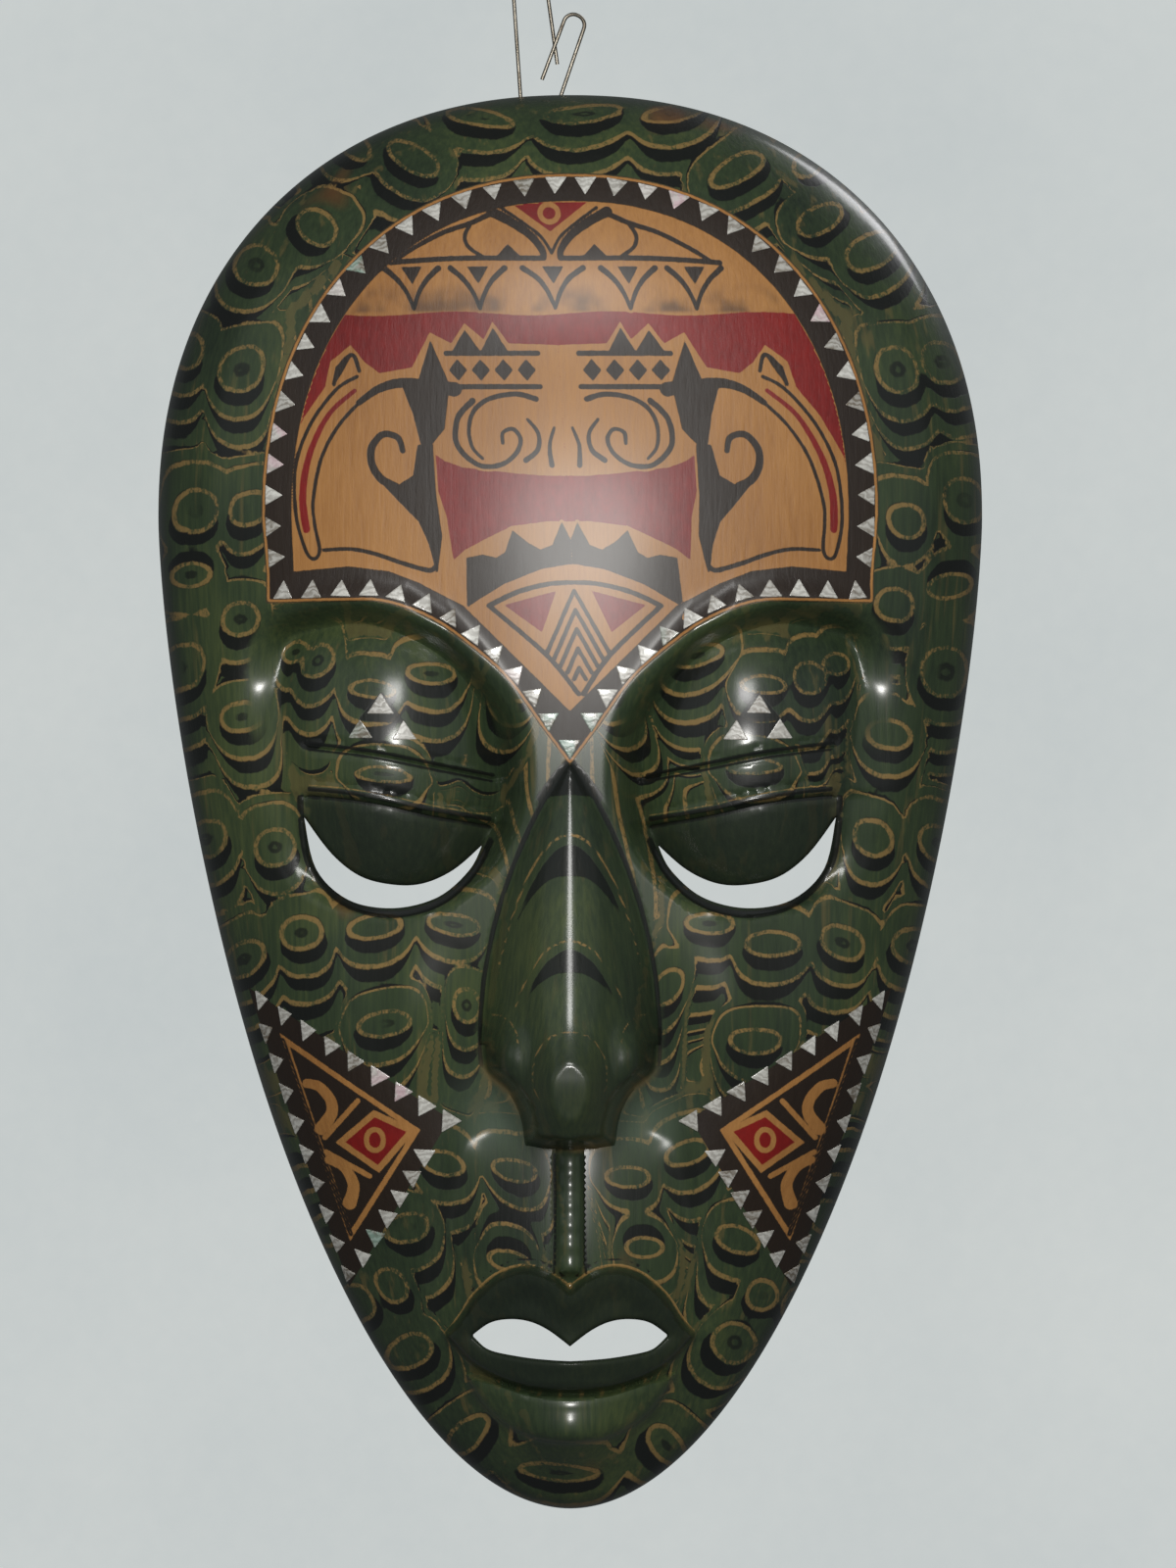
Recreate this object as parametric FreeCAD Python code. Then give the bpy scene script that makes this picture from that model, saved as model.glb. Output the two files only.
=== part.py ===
import FreeCAD, Part
import math
import os

# A carved wooden mask, hollow behind, with triangular chips of shell let into
# its face, hung by a bent wire clip that swings on a screw in the back of the rim.
# Frame: X to the viewer's right, Z up, the face looks along -Y.
# The back of the rim lies on Y = 0 and the lowest point of the chin is at Z = 0.

V = FreeCAD.Vector
os.makedirs("parts", exist_ok=True)

# ---------------------------------------------------------------- driving sizes (mm)
mask_width = 204.0
mask_height = 350.0
rim_depth = 8.0           # thickness of the wood at the very edge
crown_depth = 42.0        # how far the forehead stands off the wall
nose_rise = 26.0          # nose tip above the face around it
wall_thickness = 12.0     # wood left between the face and the hollow behind
back_rim_share = 0.92     # the hollow starts this far out towards the edge
socket_drop = 11.0        # eye socket below the brow
eyelid_rise = 14.0        # eyelid dome above the socket floor
brow_rise = 3.5
cheek_rise = 8.0
muzzle_rise = 12.0
lip_rise = 6.5
chin_rise = 7.0
philtrum_rise = 2.6

chip_base = 5.3           # shell chip: triangle with this base and height
chip_height = 4.6
chip_thickness = 1.1
chip_proud = 0.25         # how far a chip stands above the wood
lid_chip_base = 6.3
lid_chip_height = 4.9
arch_chips_per_side = 18
brow_chips_per_side = 12
cheek_upper_chips = 9
cheek_inner_chips = 6
cheek_outer_chips = 9

wire_diameter = 0.95
clip_loop_width = 8.0     # between the legs of the loop that goes over the wall pin
clip_reach = 34.6         # top of that loop above the screw
screw_shank_diameter = 2.4
screw_head_diameter = 5.6
screw_head_height = 1.15
screw_length = 8.0        # in the wood
hanger_recess_depth = 3.3
recess_play = 1.6         # room round the lower bend of the wire
recess_flare = 8.0        # the recess widens this much on each side up to the top edge
wire_play = 0.06          # gap between the screw shank and the wire that hangs on it

# ---------------------------------------------------------------- pattern of the carving
# The carving is laid out on a pattern 204 wide and 350 high that stretches with the mask.
pattern_width = 204.0
pattern_height = 350.0
kx = mask_width / pattern_width
kz = mask_height / pattern_height
half_width = pattern_width / 2
z_wide = 245.0            # height of the widest part
surface_step = 5.0


def clamp(v, lo, hi):
    return max(lo, min(hi, v))


def smooth(lo, hi, v):
    t = clamp((v - lo) / (hi - lo), 0.0, 1.0)
    return t * t * (3 - 2 * t)


def mix(a, b, t):
    return a + (b - a) * t


def rho(a, q):
    """0 at the middle of the pattern, 1 on the outline."""
    if q >= z_wide:
        t = (q - z_wide) / (pattern_height - z_wide)
        return ((a / half_width) ** 2.2 + t ** 2.2) ** (1 / 2.2)
    t = (z_wide - q) / z_wide
    return ((a / half_width) ** 1.942 + t ** 1.5) ** (1 / 1.942)


def dome(s, soft=0.2):
    """Rises steeply from 0 at s = 0, then levels out to 1 at s = 1."""
    if s < 0:
        return max(s, -0.3) / (2 * soft) / (math.sqrt(1 + soft ** 2) - soft)
    return (math.sqrt(s + soft ** 2) - soft) / (math.sqrt(1 + soft ** 2) - soft)


def cap(e2, soft=0.05):
    """Half an ellipse in section, 1 in the middle, 0 from e2 = 1 outward."""
    return math.sqrt(max(1 - e2, 0.0) + soft ** 2) - soft


def mound(a, q, ca, cq, ra, rq):
    r2 = ((a - ca) / ra) ** 2 + ((q - cq) / rq) ** 2
    return math.exp(-1.6 * r2)


def brow_line(a):
    """Lower edge of the brow ridge, where the socket begins."""
    if a > 47:
        return 218.0 - 3.5 * ((a - 47) / 22) ** 2
    return 218.0 - 30.0 * ((47 - a) / 30) ** 2.2


def nose_half(q):
    """Half width of the nose at each height."""
    if q > 118:
        return clamp(21.5 - 19.5 * ((q - 118) / 66) ** 1.08, 0.5, 21.5)
    return 21.5


def nose_foot(a):
    """Lower edge of the nose: the tip lobe in the middle, a wing on each side."""
    if a < 11:
        return 90.5 + 3.0 * (a / 11) ** 3
    return 96.5 + 9.0 * ((a - 11) / 10.5) ** 1.5


def lip_top(a):
    if a < 11.5:
        return 55.9 + 4.4 * math.sin(math.pi / 2 * a / 11.5) ** 2
    return 60.3 - 16.5 * (clamp(a - 11.5, 0, 18.5) / 18.5) ** 1.3


def lip_bottom(a):
    return 30.6 + 13.2 * (min(a, 30) / 30) ** 2.2


def relief(x, z):
    """How far the face stands off the wall at this place."""
    a = abs(x) / kx
    q = z / kz
    s = 1 - rho(a, q) ** 2.8
    d = rim_depth + (crown_depth - rim_depth) * dome(s)
    d += cheek_rise * mound(a, q, 52, 112, 34, 46)
    d += muzzle_rise * mound(a, q, 0, 52, 40, 46) * smooth(0.0, 0.2, s)
    brow = math.exp(-((q - brow_line(a) - 5) / 6.5) ** 2)
    d += brow_rise * brow * smooth(12, 26, a) * (1 - smooth(62, 80, a))
    # eye socket, then the eyelid dome standing in it
    under = smooth(-1.0, 8.0, brow_line(a) - q)
    low = smooth(138, 158, q)
    side = smooth(12, 20, a) * (1 - smooth(66, 84, a))
    d -= socket_drop * under * low * side
    e2 = ((a - 44) / 25.5) ** 2 + ((q - 188) / 31.5) ** 2
    lid = crown_depth - 2.0 - socket_drop - 3.0 + eyelid_rise * cap(e2)
    if e2 < 1:
        d = mix(d, max(d, lid), smooth(1.0, 0.8, e2) if e2 > 0.8 else 1.0)
    # a step from cheek to mouth
    fold = 28 + 7 * smooth(100, 45, q)
    if 20 < q < 112:
        d -= 3.0 * (1 - smooth(fold - 4, fold + 3, a)) * smooth(112, 98, q) * smooth(20, 40, q)
    # nose
    n = nose_half(q)
    if a < n + 3 and 85 < q < 190:
        up = clamp((186 - q) / (186 - 107), 0, 1)
        if q < 107:
            up = 1 - 0.22 * ((107 - q) / 16) ** 2
        ridge = clamp(1 - (a / n) ** 1.7, 0, 1) ** 0.85
        wing = 0.32 * math.exp(-(((a - 15.5) / 5.5) ** 2 + ((q - 112) / 9) ** 2))
        foot = nose_foot(a)
        d += nose_rise * max(up * ridge, 0) * smooth(foot - 2.5, foot + 4.5, q)
        d += nose_rise * wing * smooth(foot - 2.5, foot + 4.5, q)
    d += philtrum_rise * math.exp(-(a / 3.0) ** 4) * smooth(56, 64, q) * smooth(96, 88, q)
    # lips
    top = lip_top(a)
    bottom = lip_bottom(a)
    if a < 30 and bottom < q < top:
        u = (q - bottom) / (top - bottom)
        d += lip_rise * math.sin(math.pi * u) ** 0.7 * math.sqrt(max(1 - (a / 30) ** 2, 0))
    d += chin_rise * mound(a, q, 0, 22, 24, 11)
    return d


def hollow(x, z):
    """How deep the hollow behind the mask is at this place."""
    a = abs(x) / kx
    q = z / kz
    s = 1 - (rho(a, q) / back_rim_share) ** 2.8
    inside = smooth(0.0, 0.35, s)
    d = (crown_depth - wall_thickness) * dome(s)
    d -= 0.9 * socket_drop * mound(a, q, 44, 184, 38, 40) * inside
    d += 0.9 * cheek_rise * mound(a, q, 52, 112, 34, 46) * inside
    d += 0.9 * muzzle_rise * mound(a, q, 0, 52, 40, 46) * inside
    d += 0.45 * nose_rise * mound(a, q, 0, 118, 16, 40)
    return d


# ---------------------------------------------------------------- carved surfaces
def height_surface(height):
    """A smooth surface over the whole mask whose parameters are X and Z."""
    spans = []
    for size, start in ((mask_width + 8, -mask_width / 2 - 4), (mask_height + 8, -4.0)):
        count = int(round(size / surface_step))
        knots = [start + size * i / count for i in range(count + 1)]
        full = [knots[0]] * 3 + knots + [knots[-1]] * 3
        mids = [(full[i + 1] + full[i + 2] + full[i + 3]) / 3 for i in range(count + 3)]
        spans.append((knots, [4] + [1] * (count - 1) + [4], mids))
    (ku, mu, gu), (kv, mv, gv) = spans
    h = [[height(x, z) for z in gv] for x in gu]
    poles = []
    for i, x in enumerate(gu):
        row = []
        for j, z in enumerate(gv):
            value = h[i][j]
            if 2 < i < len(gu) - 3 and 2 < j < len(gv) - 3:
                bend_x = h[i - 1][j] - 2 * h[i][j] + h[i + 1][j]
                bend_z = h[i][j - 1] - 2 * h[i][j] + h[i][j + 1]
                value -= (bend_x + bend_z) / 6
            row.append(V(x, -value, z))
        poles.append(row)
    surface = Part.BSplineSurface()
    surface.buildFromPolesMultsKnots(poles, mu, mv, ku, kv, False, False, 3, 3)
    return surface


def outline_wire():
    """The outline of the mask on the wall, from the widest point round and back."""
    half = []
    steps = 22
    for i in range(steps + 1):
        turn = math.pi / 2 * i / steps
        c = math.cos(turn)
        t = math.sin(turn)
        half.append((c ** (2 / 2.2), t ** (2 / 2.2)))
    top = [V(half_width * u * kx, 0, (z_wide + (pattern_height - z_wide) * v) * kz) for u, v in half]
    low = []
    for i in range(steps + 1):
        turn = math.pi / 2 * i / steps
        u = math.cos(turn) ** (2 / 1.942)
        v = math.sin(turn) ** (2 / 1.5)
        low.append(V(half_width * u * kx, 0, (z_wide - z_wide * v) * kz))
    edges = []
    for points, across, foot in ((top, V(-1, 0, 0), V(0, 0, 1)), (low, V(-1, 0, 0), V(0, 0, -1))):
        curve = Part.BSplineCurve()
        curve.interpolate(Points=points, InitialTangent=foot, FinalTangent=across)
        edges.append(curve.toShape())
    mirrored = [e.mirror(V(0, 0, 0), V(1, 0, 0)) for e in edges]
    return Part.Wire(Part.__sortEdges__(edges + mirrored))


def at(a, q):
    """A place on the wall plane from pattern sizes."""
    return V(a * kx, 0, q * kz)


def through(edges, depth=90.0):
    """A prism right through the mask from a closed outline on the wall plane."""
    face = Part.Face(Part.Wire(Part.__sortEdges__(edges)))
    face.translate(V(0, 10, 0))
    return face.extrude(V(0, -depth, 0))


def arc(p1, p2, p3):
    return Part.Arc(p1, p2, p3).toShape()


face_surface = height_surface(relief)
hollow_surface = height_surface(hollow)

blank = Part.Face(outline_wire()).extrude(V(0, -90, 0))
behind_face = face_surface.toShape().extrude(V(0, 200, 0))
behind_hollow = hollow_surface.toShape().extrude(V(0, 200, 0))
body = blank.common(behind_face).cut(behind_hollow)

cutters = []
for side in (1, -1):
    # crescent eye slit under the eyelid
    upper = arc(at(side * 64, 170), at(side * 43.5, 154.6), at(side * 21.3, 162.7))
    lower = arc(at(side * 64, 170), at(side * 42.5, 147.7), at(side * 21.3, 162.7))
    cutters.append(through([upper, lower]))
# mouth opening: two lobes that meet under the middle of the upper lip
mouth = []
for side in (1, -1):
    mouth.append(arc(at(0, 41.8), at(side * 8, 47.2), at(side * 14.5, 48.2)))
    mouth.append(arc(at(side * 14.5, 48.2), at(side * 20, 47.2), at(side * 24, 44)))
mouth.append(arc(at(24, 44), at(16.4, 39.6), at(8, 38.2)))
mouth.append(arc(at(8, 38.2), at(0, 37.8), at(-8, 38.2)))
mouth.append(arc(at(-8, 38.2), at(-16.4, 39.6), at(-24, 44)))
cutters.append(through(mouth))

# ---------------------------------------------------------------- shell chips
def chip(place, towards, base, height):
    """A triangular chip set square to the surface, its point turned towards a direction."""
    x = place.x
    z = place.z
    on = face_surface.value(x, z)
    out = face_surface.normal(x, z)
    if out.y > 0:
        out = out * -1
    point = towards - out * towards.dot(out)
    point.normalize()
    along = out.cross(point)
    corners = [
        on - point * (height / 2) - along * (base / 2),
        on - point * (height / 2) + along * (base / 2),
        on + point * (height / 2),
    ]
    sunk = [c - out * (chip_thickness - chip_proud) for c in corners]
    face = Part.Face(Part.makePolygon(sunk + sunk[:1]))
    return face.extrude(out * chip_thickness)


def walk(curve, count, lead, tail):
    """Places and directions of travel along a curve, evenly spaced between two end margins."""
    length = curve.length()
    step = (length - lead - tail) / (count - 1)
    for i in range(count):
        t = curve.parameterAtDistance(lead + step * i, curve.FirstParameter)
        yield curve.value(t), V(*curve.tangent(t)[0])


def row(curve, count, lead, tail, turn, flip=1):
    """A row of chips whose points are turned a quarter turn from the way the row runs."""
    chips = []
    for place, way in walk(curve, count, lead, tail):
        across = V(-way.z * turn * flip, 0, way.x * turn * flip)
        chips.append(chip(place, across, chip_base, chip_height))
    return chips


def curve_through(points):
    curve = Part.BSplineCurve()
    curve.interpolate(Points=points)
    return curve


def line(p1, p2):
    return Part.LineSegment(p1, p2)


nodes = {}
arch_across = 72.4
arch_up = 81.0
arch_foot = 230.0
brow_row = [(70, 227), (57, 227.2), (44.5, 226.8), (31.7, 222), (20.5, 214), (12.5, 206.5), (4.6, 195.5)]
# first and last chip of the three rows round the cheek panel
cheek_upper_ends = ((30.2, 96.4), (76.0, 125.6))
cheek_inner_ends = ((36.2, 88.8), (51.3, 63.5))
cheek_outer_ends = ((54.2, 58.7), (74.2, 118.8))

for side, name in ((-1, "left"), (1, "right")):
    # the row round the forehead: up the side from its foot, then over to the middle
    arch = [at(side * 71.0, arch_foot)]
    for i in range(10):
        turn = math.pi / 2 * i / 9
        across = arch_across * math.cos(turn) ** (2 / 2.2)
        up = arch_up * math.sin(turn) ** (2 / 2.2)
        arch.append(at(side * across, z_wide + up))
    gap = 3.65 * kx
    nodes["forehead_arch_shells_" + name] = row(
        curve_through(arch), arch_chips_per_side, 5.0 * kz, gap, 1, side)
    # the row over the brow, running down beside the nose root
    brow = [at(side * a, q) for a, q in brow_row]
    nodes["brow_shells_" + name] = row(curve_through(brow), brow_chips_per_side, 0, 0, -1, side)
    # three chips on the eyelid, points up
    for spot, a, q in (("top", 46.2, 199.0), ("inner", 40.6, 192.6), ("outer", 51.2, 193.0)):
        one = chip(at(side * a, q), V(0, 0, 1), lid_chip_base, lid_chip_height)
        nodes["eyelid_shell_" + spot + "_" + name] = [one]
    # the three sides of the cheek panel, points inward
    for spot, ends, count, turn in (
        ("upper", cheek_upper_ends, cheek_upper_chips, -1),
        ("inner", cheek_inner_ends, cheek_inner_chips, 1),
        ("outer", cheek_outer_ends, cheek_outer_chips, 1),
    ):
        track = line(*[at(side * a, q) for a, q in ends])
        nodes["cheek_" + spot + "_shells_" + name] = row(track, count, 0, 0, turn, side)
nodes["brow_point_shell"] = [chip(at(0, 187.8), V(0, 0, -1), chip_base, chip_height)]

for chips in nodes.values():
    cutters.extend(chips)

# ---------------------------------------------------------------- hanger: screw and wire clip
wire_radius = wire_diameter / 2
shank_radius = screw_shank_diameter / 2
pivot = V(-7.8 * kx, 0, mask_height - 4.6)
head_back = -0.25                                   # the head stays below the back of the rim
head_front = head_back - screw_head_height
wire_y = head_front - 0.3 - wire_radius
crossing_y = wire_y - wire_diameter - 0.4           # the wire end that passes in front
shank = Part.makeCylinder(
    shank_radius, hanger_recess_depth + screw_length + head_back,
    V(pivot.x, head_back, pivot.z), V(0, -1, 0))
head = Part.makeCylinder(
    screw_head_diameter / 2, screw_head_height, V(pivot.x, head_back, pivot.z), V(0, -1, 0))
drive = Part.makeBox(
    screw_head_diameter, 0.5, 0.8, V(pivot.x - screw_head_diameter / 2, head_back - 0.5, pivot.z - 0.4))
screw = shank.fuse(head).cut(drive)
nodes["hanger_screw"] = [screw]

# shallow recess in the back of the rim, round at the foot and open at the top edge
bend_radius = 3.9                                   # lower bend of the wire, to its middle
bend_centre = V(pivot.x, 0, pivot.z - wire_play - wire_radius - shank_radius + bend_radius)
foot_radius = bend_radius + wire_radius + recess_play
spread = foot_radius + recess_flare
foot_z = bend_centre.z
top_z = mask_height + 4
lean = 1.0                                          # the right leg of the wire leans outward
foot_left = V(pivot.x - foot_radius, 0, foot_z)
foot_right = V(pivot.x + foot_radius + lean, 0, foot_z)
top_left = V(pivot.x - spread, 0, top_z)
top_right = V(pivot.x + spread + lean, 0, top_z)
recess_edges = [
    arc(foot_left, V(pivot.x + lean / 2, 0, foot_z - foot_radius), foot_right),
    line(foot_right, top_right).toShape(),
    line(top_right, top_left).toShape(),
    line(top_left, foot_left).toShape(),
]
recess = through(recess_edges, 10.0 + hanger_recess_depth)
cutters.append(recess)
shank_hole = Part.makeCylinder(
    shank_radius, hanger_recess_depth + screw_length,
    V(pivot.x, 0, pivot.z), V(0, -1, 0))
cutters.append(shank_hole)


def bent_wire(points, radii):
    """A round wire along straight runs joined by tangent arcs."""
    edges = []
    start = points[0]
    for i in range(1, len(points) - 1):
        corner = points[i]
        back = (points[i - 1] - corner).normalize()
        ahead = (points[i + 1] - corner).normalize()
        half = back.getAngle(ahead) / 2
        reach = radii[i - 1] / math.tan(half)
        middle = (back + ahead).normalize()
        first = corner + back * reach
        last = corner + ahead * reach
        rise = radii[i - 1] / math.sin(half) - radii[i - 1]
        if (first - start).Length > 0.01:
            edges.append(Part.LineSegment(start, first).toShape())
        edges.append(arc(first, corner + middle * rise, last))
        start = last
    edges.append(Part.LineSegment(start, points[-1]).toShape())
    path = Part.Wire(edges)
    way = (points[1] - points[0]).normalize()
    ring = Part.Wire([Part.makeCircle(wire_radius, points[0], way)])
    return path.makePipeShell([ring], True, True, 2)


def off_pivot(x, z, y=wire_y):
    return V(pivot.x + x, y, pivot.z + z)


loop = clip_loop_width / 2
bend = bend_radius
foot = bend_centre.z - pivot.z - bend_radius
route = [
    (off_pivot(4.6, 12.4), None),                   # first end
    (off_pivot(1.5, clip_reach), loop * 0.97),      # right corner of the loop over the pin
    (off_pivot(-6.6, clip_reach), loop * 0.97),     # left corner
    (off_pivot(-bend - 0.2, foot), bend),           # foot of the bend round the screw
    (off_pivot(bend - 0.6, foot), bend * 0.96),
    (off_pivot(11.9, 23.4), 2.5),                   # the small loop at the side
    (off_pivot(7.2, 25.6, crossing_y), 2.5),
    (off_pivot(0.8, 8.5, crossing_y), None),        # last end
]
clip = bent_wire([p for p, r in route], [r for p, r in route[1:-1]])
nodes["paper_clip_hanger"] = [clip]

# ---------------------------------------------------------------- finished pieces
nodes["mask_body"] = body.cut(cutters).Solids

for name, solids in nodes.items():
    shape = solids[0] if len(solids) == 1 else Part.makeCompound(solids)
    shape.exportStep("parts/" + name + ".step")
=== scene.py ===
import math

import bmesh
import bpy
import numpy as np
from bpy.props import FloatProperty, FloatVectorProperty, IntProperty, PointerProperty
from bpy.types import Operator, Panel, PropertyGroup
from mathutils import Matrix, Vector
from mathutils.geometry import delaunay_2d_cdt


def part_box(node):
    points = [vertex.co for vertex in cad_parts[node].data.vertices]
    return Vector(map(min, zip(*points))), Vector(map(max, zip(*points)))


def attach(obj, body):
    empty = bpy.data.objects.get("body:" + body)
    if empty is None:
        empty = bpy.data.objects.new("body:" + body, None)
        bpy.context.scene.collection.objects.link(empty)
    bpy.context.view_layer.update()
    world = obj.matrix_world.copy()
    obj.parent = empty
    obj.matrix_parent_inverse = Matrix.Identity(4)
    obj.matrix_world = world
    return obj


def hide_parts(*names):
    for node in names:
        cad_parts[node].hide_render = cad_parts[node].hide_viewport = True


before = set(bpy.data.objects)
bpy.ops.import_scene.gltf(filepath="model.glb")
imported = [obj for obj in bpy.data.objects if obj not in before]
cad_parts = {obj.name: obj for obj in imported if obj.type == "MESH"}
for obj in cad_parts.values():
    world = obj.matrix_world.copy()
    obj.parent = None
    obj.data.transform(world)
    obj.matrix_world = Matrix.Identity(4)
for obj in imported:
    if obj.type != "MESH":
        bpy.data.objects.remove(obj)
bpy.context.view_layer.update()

bl_info = {
    "name": "Carved mask with shell inlay",
    "version": (1, 0, 0),
    "blender": (4, 5, 0),
    "location": "View3D > Sidebar > Mask",
    "description": "Carves, paints and inlays a wooden wall mask around its packed frame",
    "category": "Add Mesh",
}

MM = 0.001
MASK_LOW, MASK_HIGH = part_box("mask_body")
KX = (MASK_HIGH.x - MASK_LOW.x) / MM / 204.0      # the carving's pattern is 204 wide
KZ = (MASK_HIGH.z - MASK_LOW.z) / MM / 350.0      # and 350 high
HALF_WIDTH = 102.0
Z_WIDE = 245.0
Z_TOP = 350.0


# ------------------------------------------------------------------ drawing on the pattern
def smooth(lo, hi, v):
    t = np.clip((v - lo) / (hi - lo), 0.0, 1.0)
    return t * t * (3 - 2 * t)


def mix(a, b, t):
    return a + (b - a) * t


def hump(a, q, ca, cq, ra, rq):
    return np.exp(-1.6 * (((a - ca) / ra) ** 2 + ((q - cq) / rq) ** 2))


def through(points, closed=False, steps=8):
    """A smooth line through a few points."""
    p = np.array(points, float)
    n = len(p)
    ends = n if closed else n - 1
    line = []
    for i in range(ends):
        if closed:
            p0, p1, p2, p3 = p[i - 1], p[i], p[(i + 1) % n], p[(i + 2) % n]
        else:
            p0, p1, p2, p3 = p[max(i - 1, 0)], p[i], p[i + 1], p[min(i + 2, n - 1)]
        for t in np.arange(steps) / steps:
            line.append(0.5 * (2 * p1 + (p2 - p0) * t + (2 * p0 - 5 * p1 + 4 * p2 - p3) * t * t
                               + (3 * p1 - p0 - 3 * p2 + p3) * t ** 3))
    if not closed:
        line.append(p[-1])
    return np.array(line)


def polygon(points):
    return np.array(points, float)


def ring_line(ca, cq, ra, rq=None, count=24):
    turn = np.arange(count) * 2 * math.pi / count
    return np.column_stack((ca + ra * np.cos(turn), cq + (rq or ra) * np.sin(turn)))


FAR = 9.0      # distances are only worked out this near to a shape


def near(a, q, line, reach):
    lo = line.min(0) - reach
    hi = line.max(0) + reach
    return np.flatnonzero((a > lo[0]) & (a < hi[0]) & (q > lo[1]) & (q < hi[1]))


def distance(a, q, line, closed=False, widths=None, reach=FAR):
    """Distance from a line, less the line's own half width where one is given."""
    out = np.full(a.shape, reach)
    pick = near(a, q, line, reach)
    if len(pick) == 0:
        return out
    pa, pq = a[pick], q[pick]
    best = np.full(len(pick), reach)
    n = len(line)
    last = n if closed else n - 1
    for i in range(last):
        s, e = line[i], line[(i + 1) % n]
        dx, dz = e - s
        t = np.clip(((pa - s[0]) * dx + (pq - s[1]) * dz) / (dx * dx + dz * dz + 1e-9), 0, 1)
        d = np.hypot(pa - s[0] - t * dx, pq - s[1] - t * dz)
        if widths is not None:
            d = d - mix(widths[i], widths[i + 1], t) / 2
        best = np.minimum(best, d)
    out[pick] = best
    return out


def inside(a, q, loop):
    """Signed distance from a closed shape, positive inside it."""
    d = distance(a, q, loop, closed=True)
    pick = near(a, q, loop, 0.0)
    hit = np.zeros(len(pick), bool)
    pa, pq = a[pick], q[pick]
    n = len(loop)
    for i in range(n):
        (x1, z1), (x2, z2) = loop[i], loop[(i + 1) % n]
        if z1 == z2:
            continue
        crosses = (z1 > pq) != (z2 > pq)
        hit ^= crosses & (pa < (x2 - x1) * (pq - z1) / (z2 - z1) + x1)
    d = -d
    d[pick[hit]] *= -1
    return d


def stroke(a, q, line, start, end=None):
    """A brush line, positive inside it, that tapers from one width to another."""
    widths = np.linspace(start, start if end is None else end, len(line))
    return -distance(a, q, line, widths=widths)


# ------------------------------------------------------------------ the carving
def rho(a, q):
    """0 at the middle of the pattern, 1 on the outline."""
    top = ((np.maximum(a, 0) / HALF_WIDTH) ** 2.2
           + (np.maximum(q - Z_WIDE, 0) / (Z_TOP - Z_WIDE)) ** 2.2) ** (1 / 2.2)
    low = ((np.maximum(a, 0) / HALF_WIDTH) ** 1.942
           + (np.maximum(Z_WIDE - q, 0) / Z_WIDE) ** 1.5) ** (1 / 1.942)
    return np.where(q >= Z_WIDE, top, low)


def swell(s, soft=0.2):
    rise = np.sqrt(np.maximum(s, 0) + soft ** 2) - soft
    fall = np.maximum(s, -0.3) / (2 * soft)
    return np.where(s < 0, fall, rise) / (math.sqrt(1 + soft ** 2) - soft)


EYE_EDGE = through([
    (64.8, 171), (63.2, 160.5), (56.5, 152.6), (44.5, 148.4), (33, 151), (25, 157.8), (20.5, 165),
    (17.6, 173), (17.4, 183), (19.2, 194), (24.2, 203.2), (30.8, 210.4), (39.5, 215.6), (49.5, 218.8),
    (59, 218.2), (68.5, 214.8), (71.2, 206), (70.2, 192), (67.2, 180)], closed=True, steps=5)
SLIT = np.vstack((
    through([(65.2, 171.2), (58.5, 162.3), (51.5, 156.8), (43.5, 154.7), (36, 155), (28.5, 158.4),
             (21.6, 164.4)], steps=6),
    through([(21.6, 164.4), (24.8, 158.2), (32.5, 151.6), (43.5, 148.9), (54.5, 151), (62.4, 158.6),
             (65.2, 171.2)], steps=6)[1:-1]))
MOUTH = np.vstack((
    through([(0, 41.8), (5, 45.6), (9.6, 47.8), (14.5, 48.4), (19.6, 47.4), (24, 44.2)], steps=5),
    through([(24, 44.2), (20.5, 41), (16.4, 39.7), (8, 38.5), (0, 38)], steps=5)[1:]))
MOUTH = np.vstack((MOUTH, MOUTH[1:-1][::-1] * (-1, 1)))
LIPS = np.vstack((
    through([(0, 55.6), (3.2, 58.3), (7.4, 60.4), (12.5, 60.8), (18, 58.6), (23.4, 53.6), (27, 48),
             (30.6, 43.8)], steps=5),
    through([(30.6, 43.8), (25, 37.8), (18, 33.6), (9, 31), (0, 30.4)], steps=5)[1:]))
LIPS = np.vstack((LIPS, LIPS[1:-1][::-1] * (-1, 1)))
CHIN = np.vstack((
    through([(0, 17.4), (8, 18.2), (16, 21.6), (22, 27), (26, 34.4)], steps=5),
    through([(26, 34.4), (18, 32.6), (9, 30), (0, 29.4)], steps=5)[1:]))
CHIN = np.vstack((CHIN, CHIN[1:-1][::-1] * (-1, 1)))


def nose_half(q):
    t = np.clip((q - 118) / 67, 0, 1)
    return 22 * np.maximum(1 - t ** 1.9, 0.0008) ** 0.9


NOSE_SIDE = [(float(nose_half(q)), q) for q in (184.6, 180, 174, 166, 156, 145, 132, 119)]
NOSE = through([(0, 185.5)] + NOSE_SIDE + [(21.6, 112)], steps=4)
NOSE = np.vstack((NOSE[:-1], through([(21.6, 112), (20.2, 108.6), (15, 104.2), (11.9, 98), (10.8, 91.2)],
                                     steps=5),
                  [(6, 90.4), (0, 90.2)]))
NOSE = np.vstack((NOSE, NOSE[1:-1][::-1] * (-1, 1)))
LID_FOLD = through([(18.9, 181.6), (33, 184.4), (48, 187.4), (64, 189.4)])
LID_EDGE = through([(19.6, 170.8), (33.6, 173.2), (45.3, 175.8), (55, 177.4), (64, 178.2)])
SLIT_BEAD = through([(66.2, 176), (65.6, 167), (63.4, 158.4), (55.2, 150.2), (43.6, 147.4), (32, 150.2),
                     (23.8, 157.4), (19.4, 165.6)])


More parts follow.
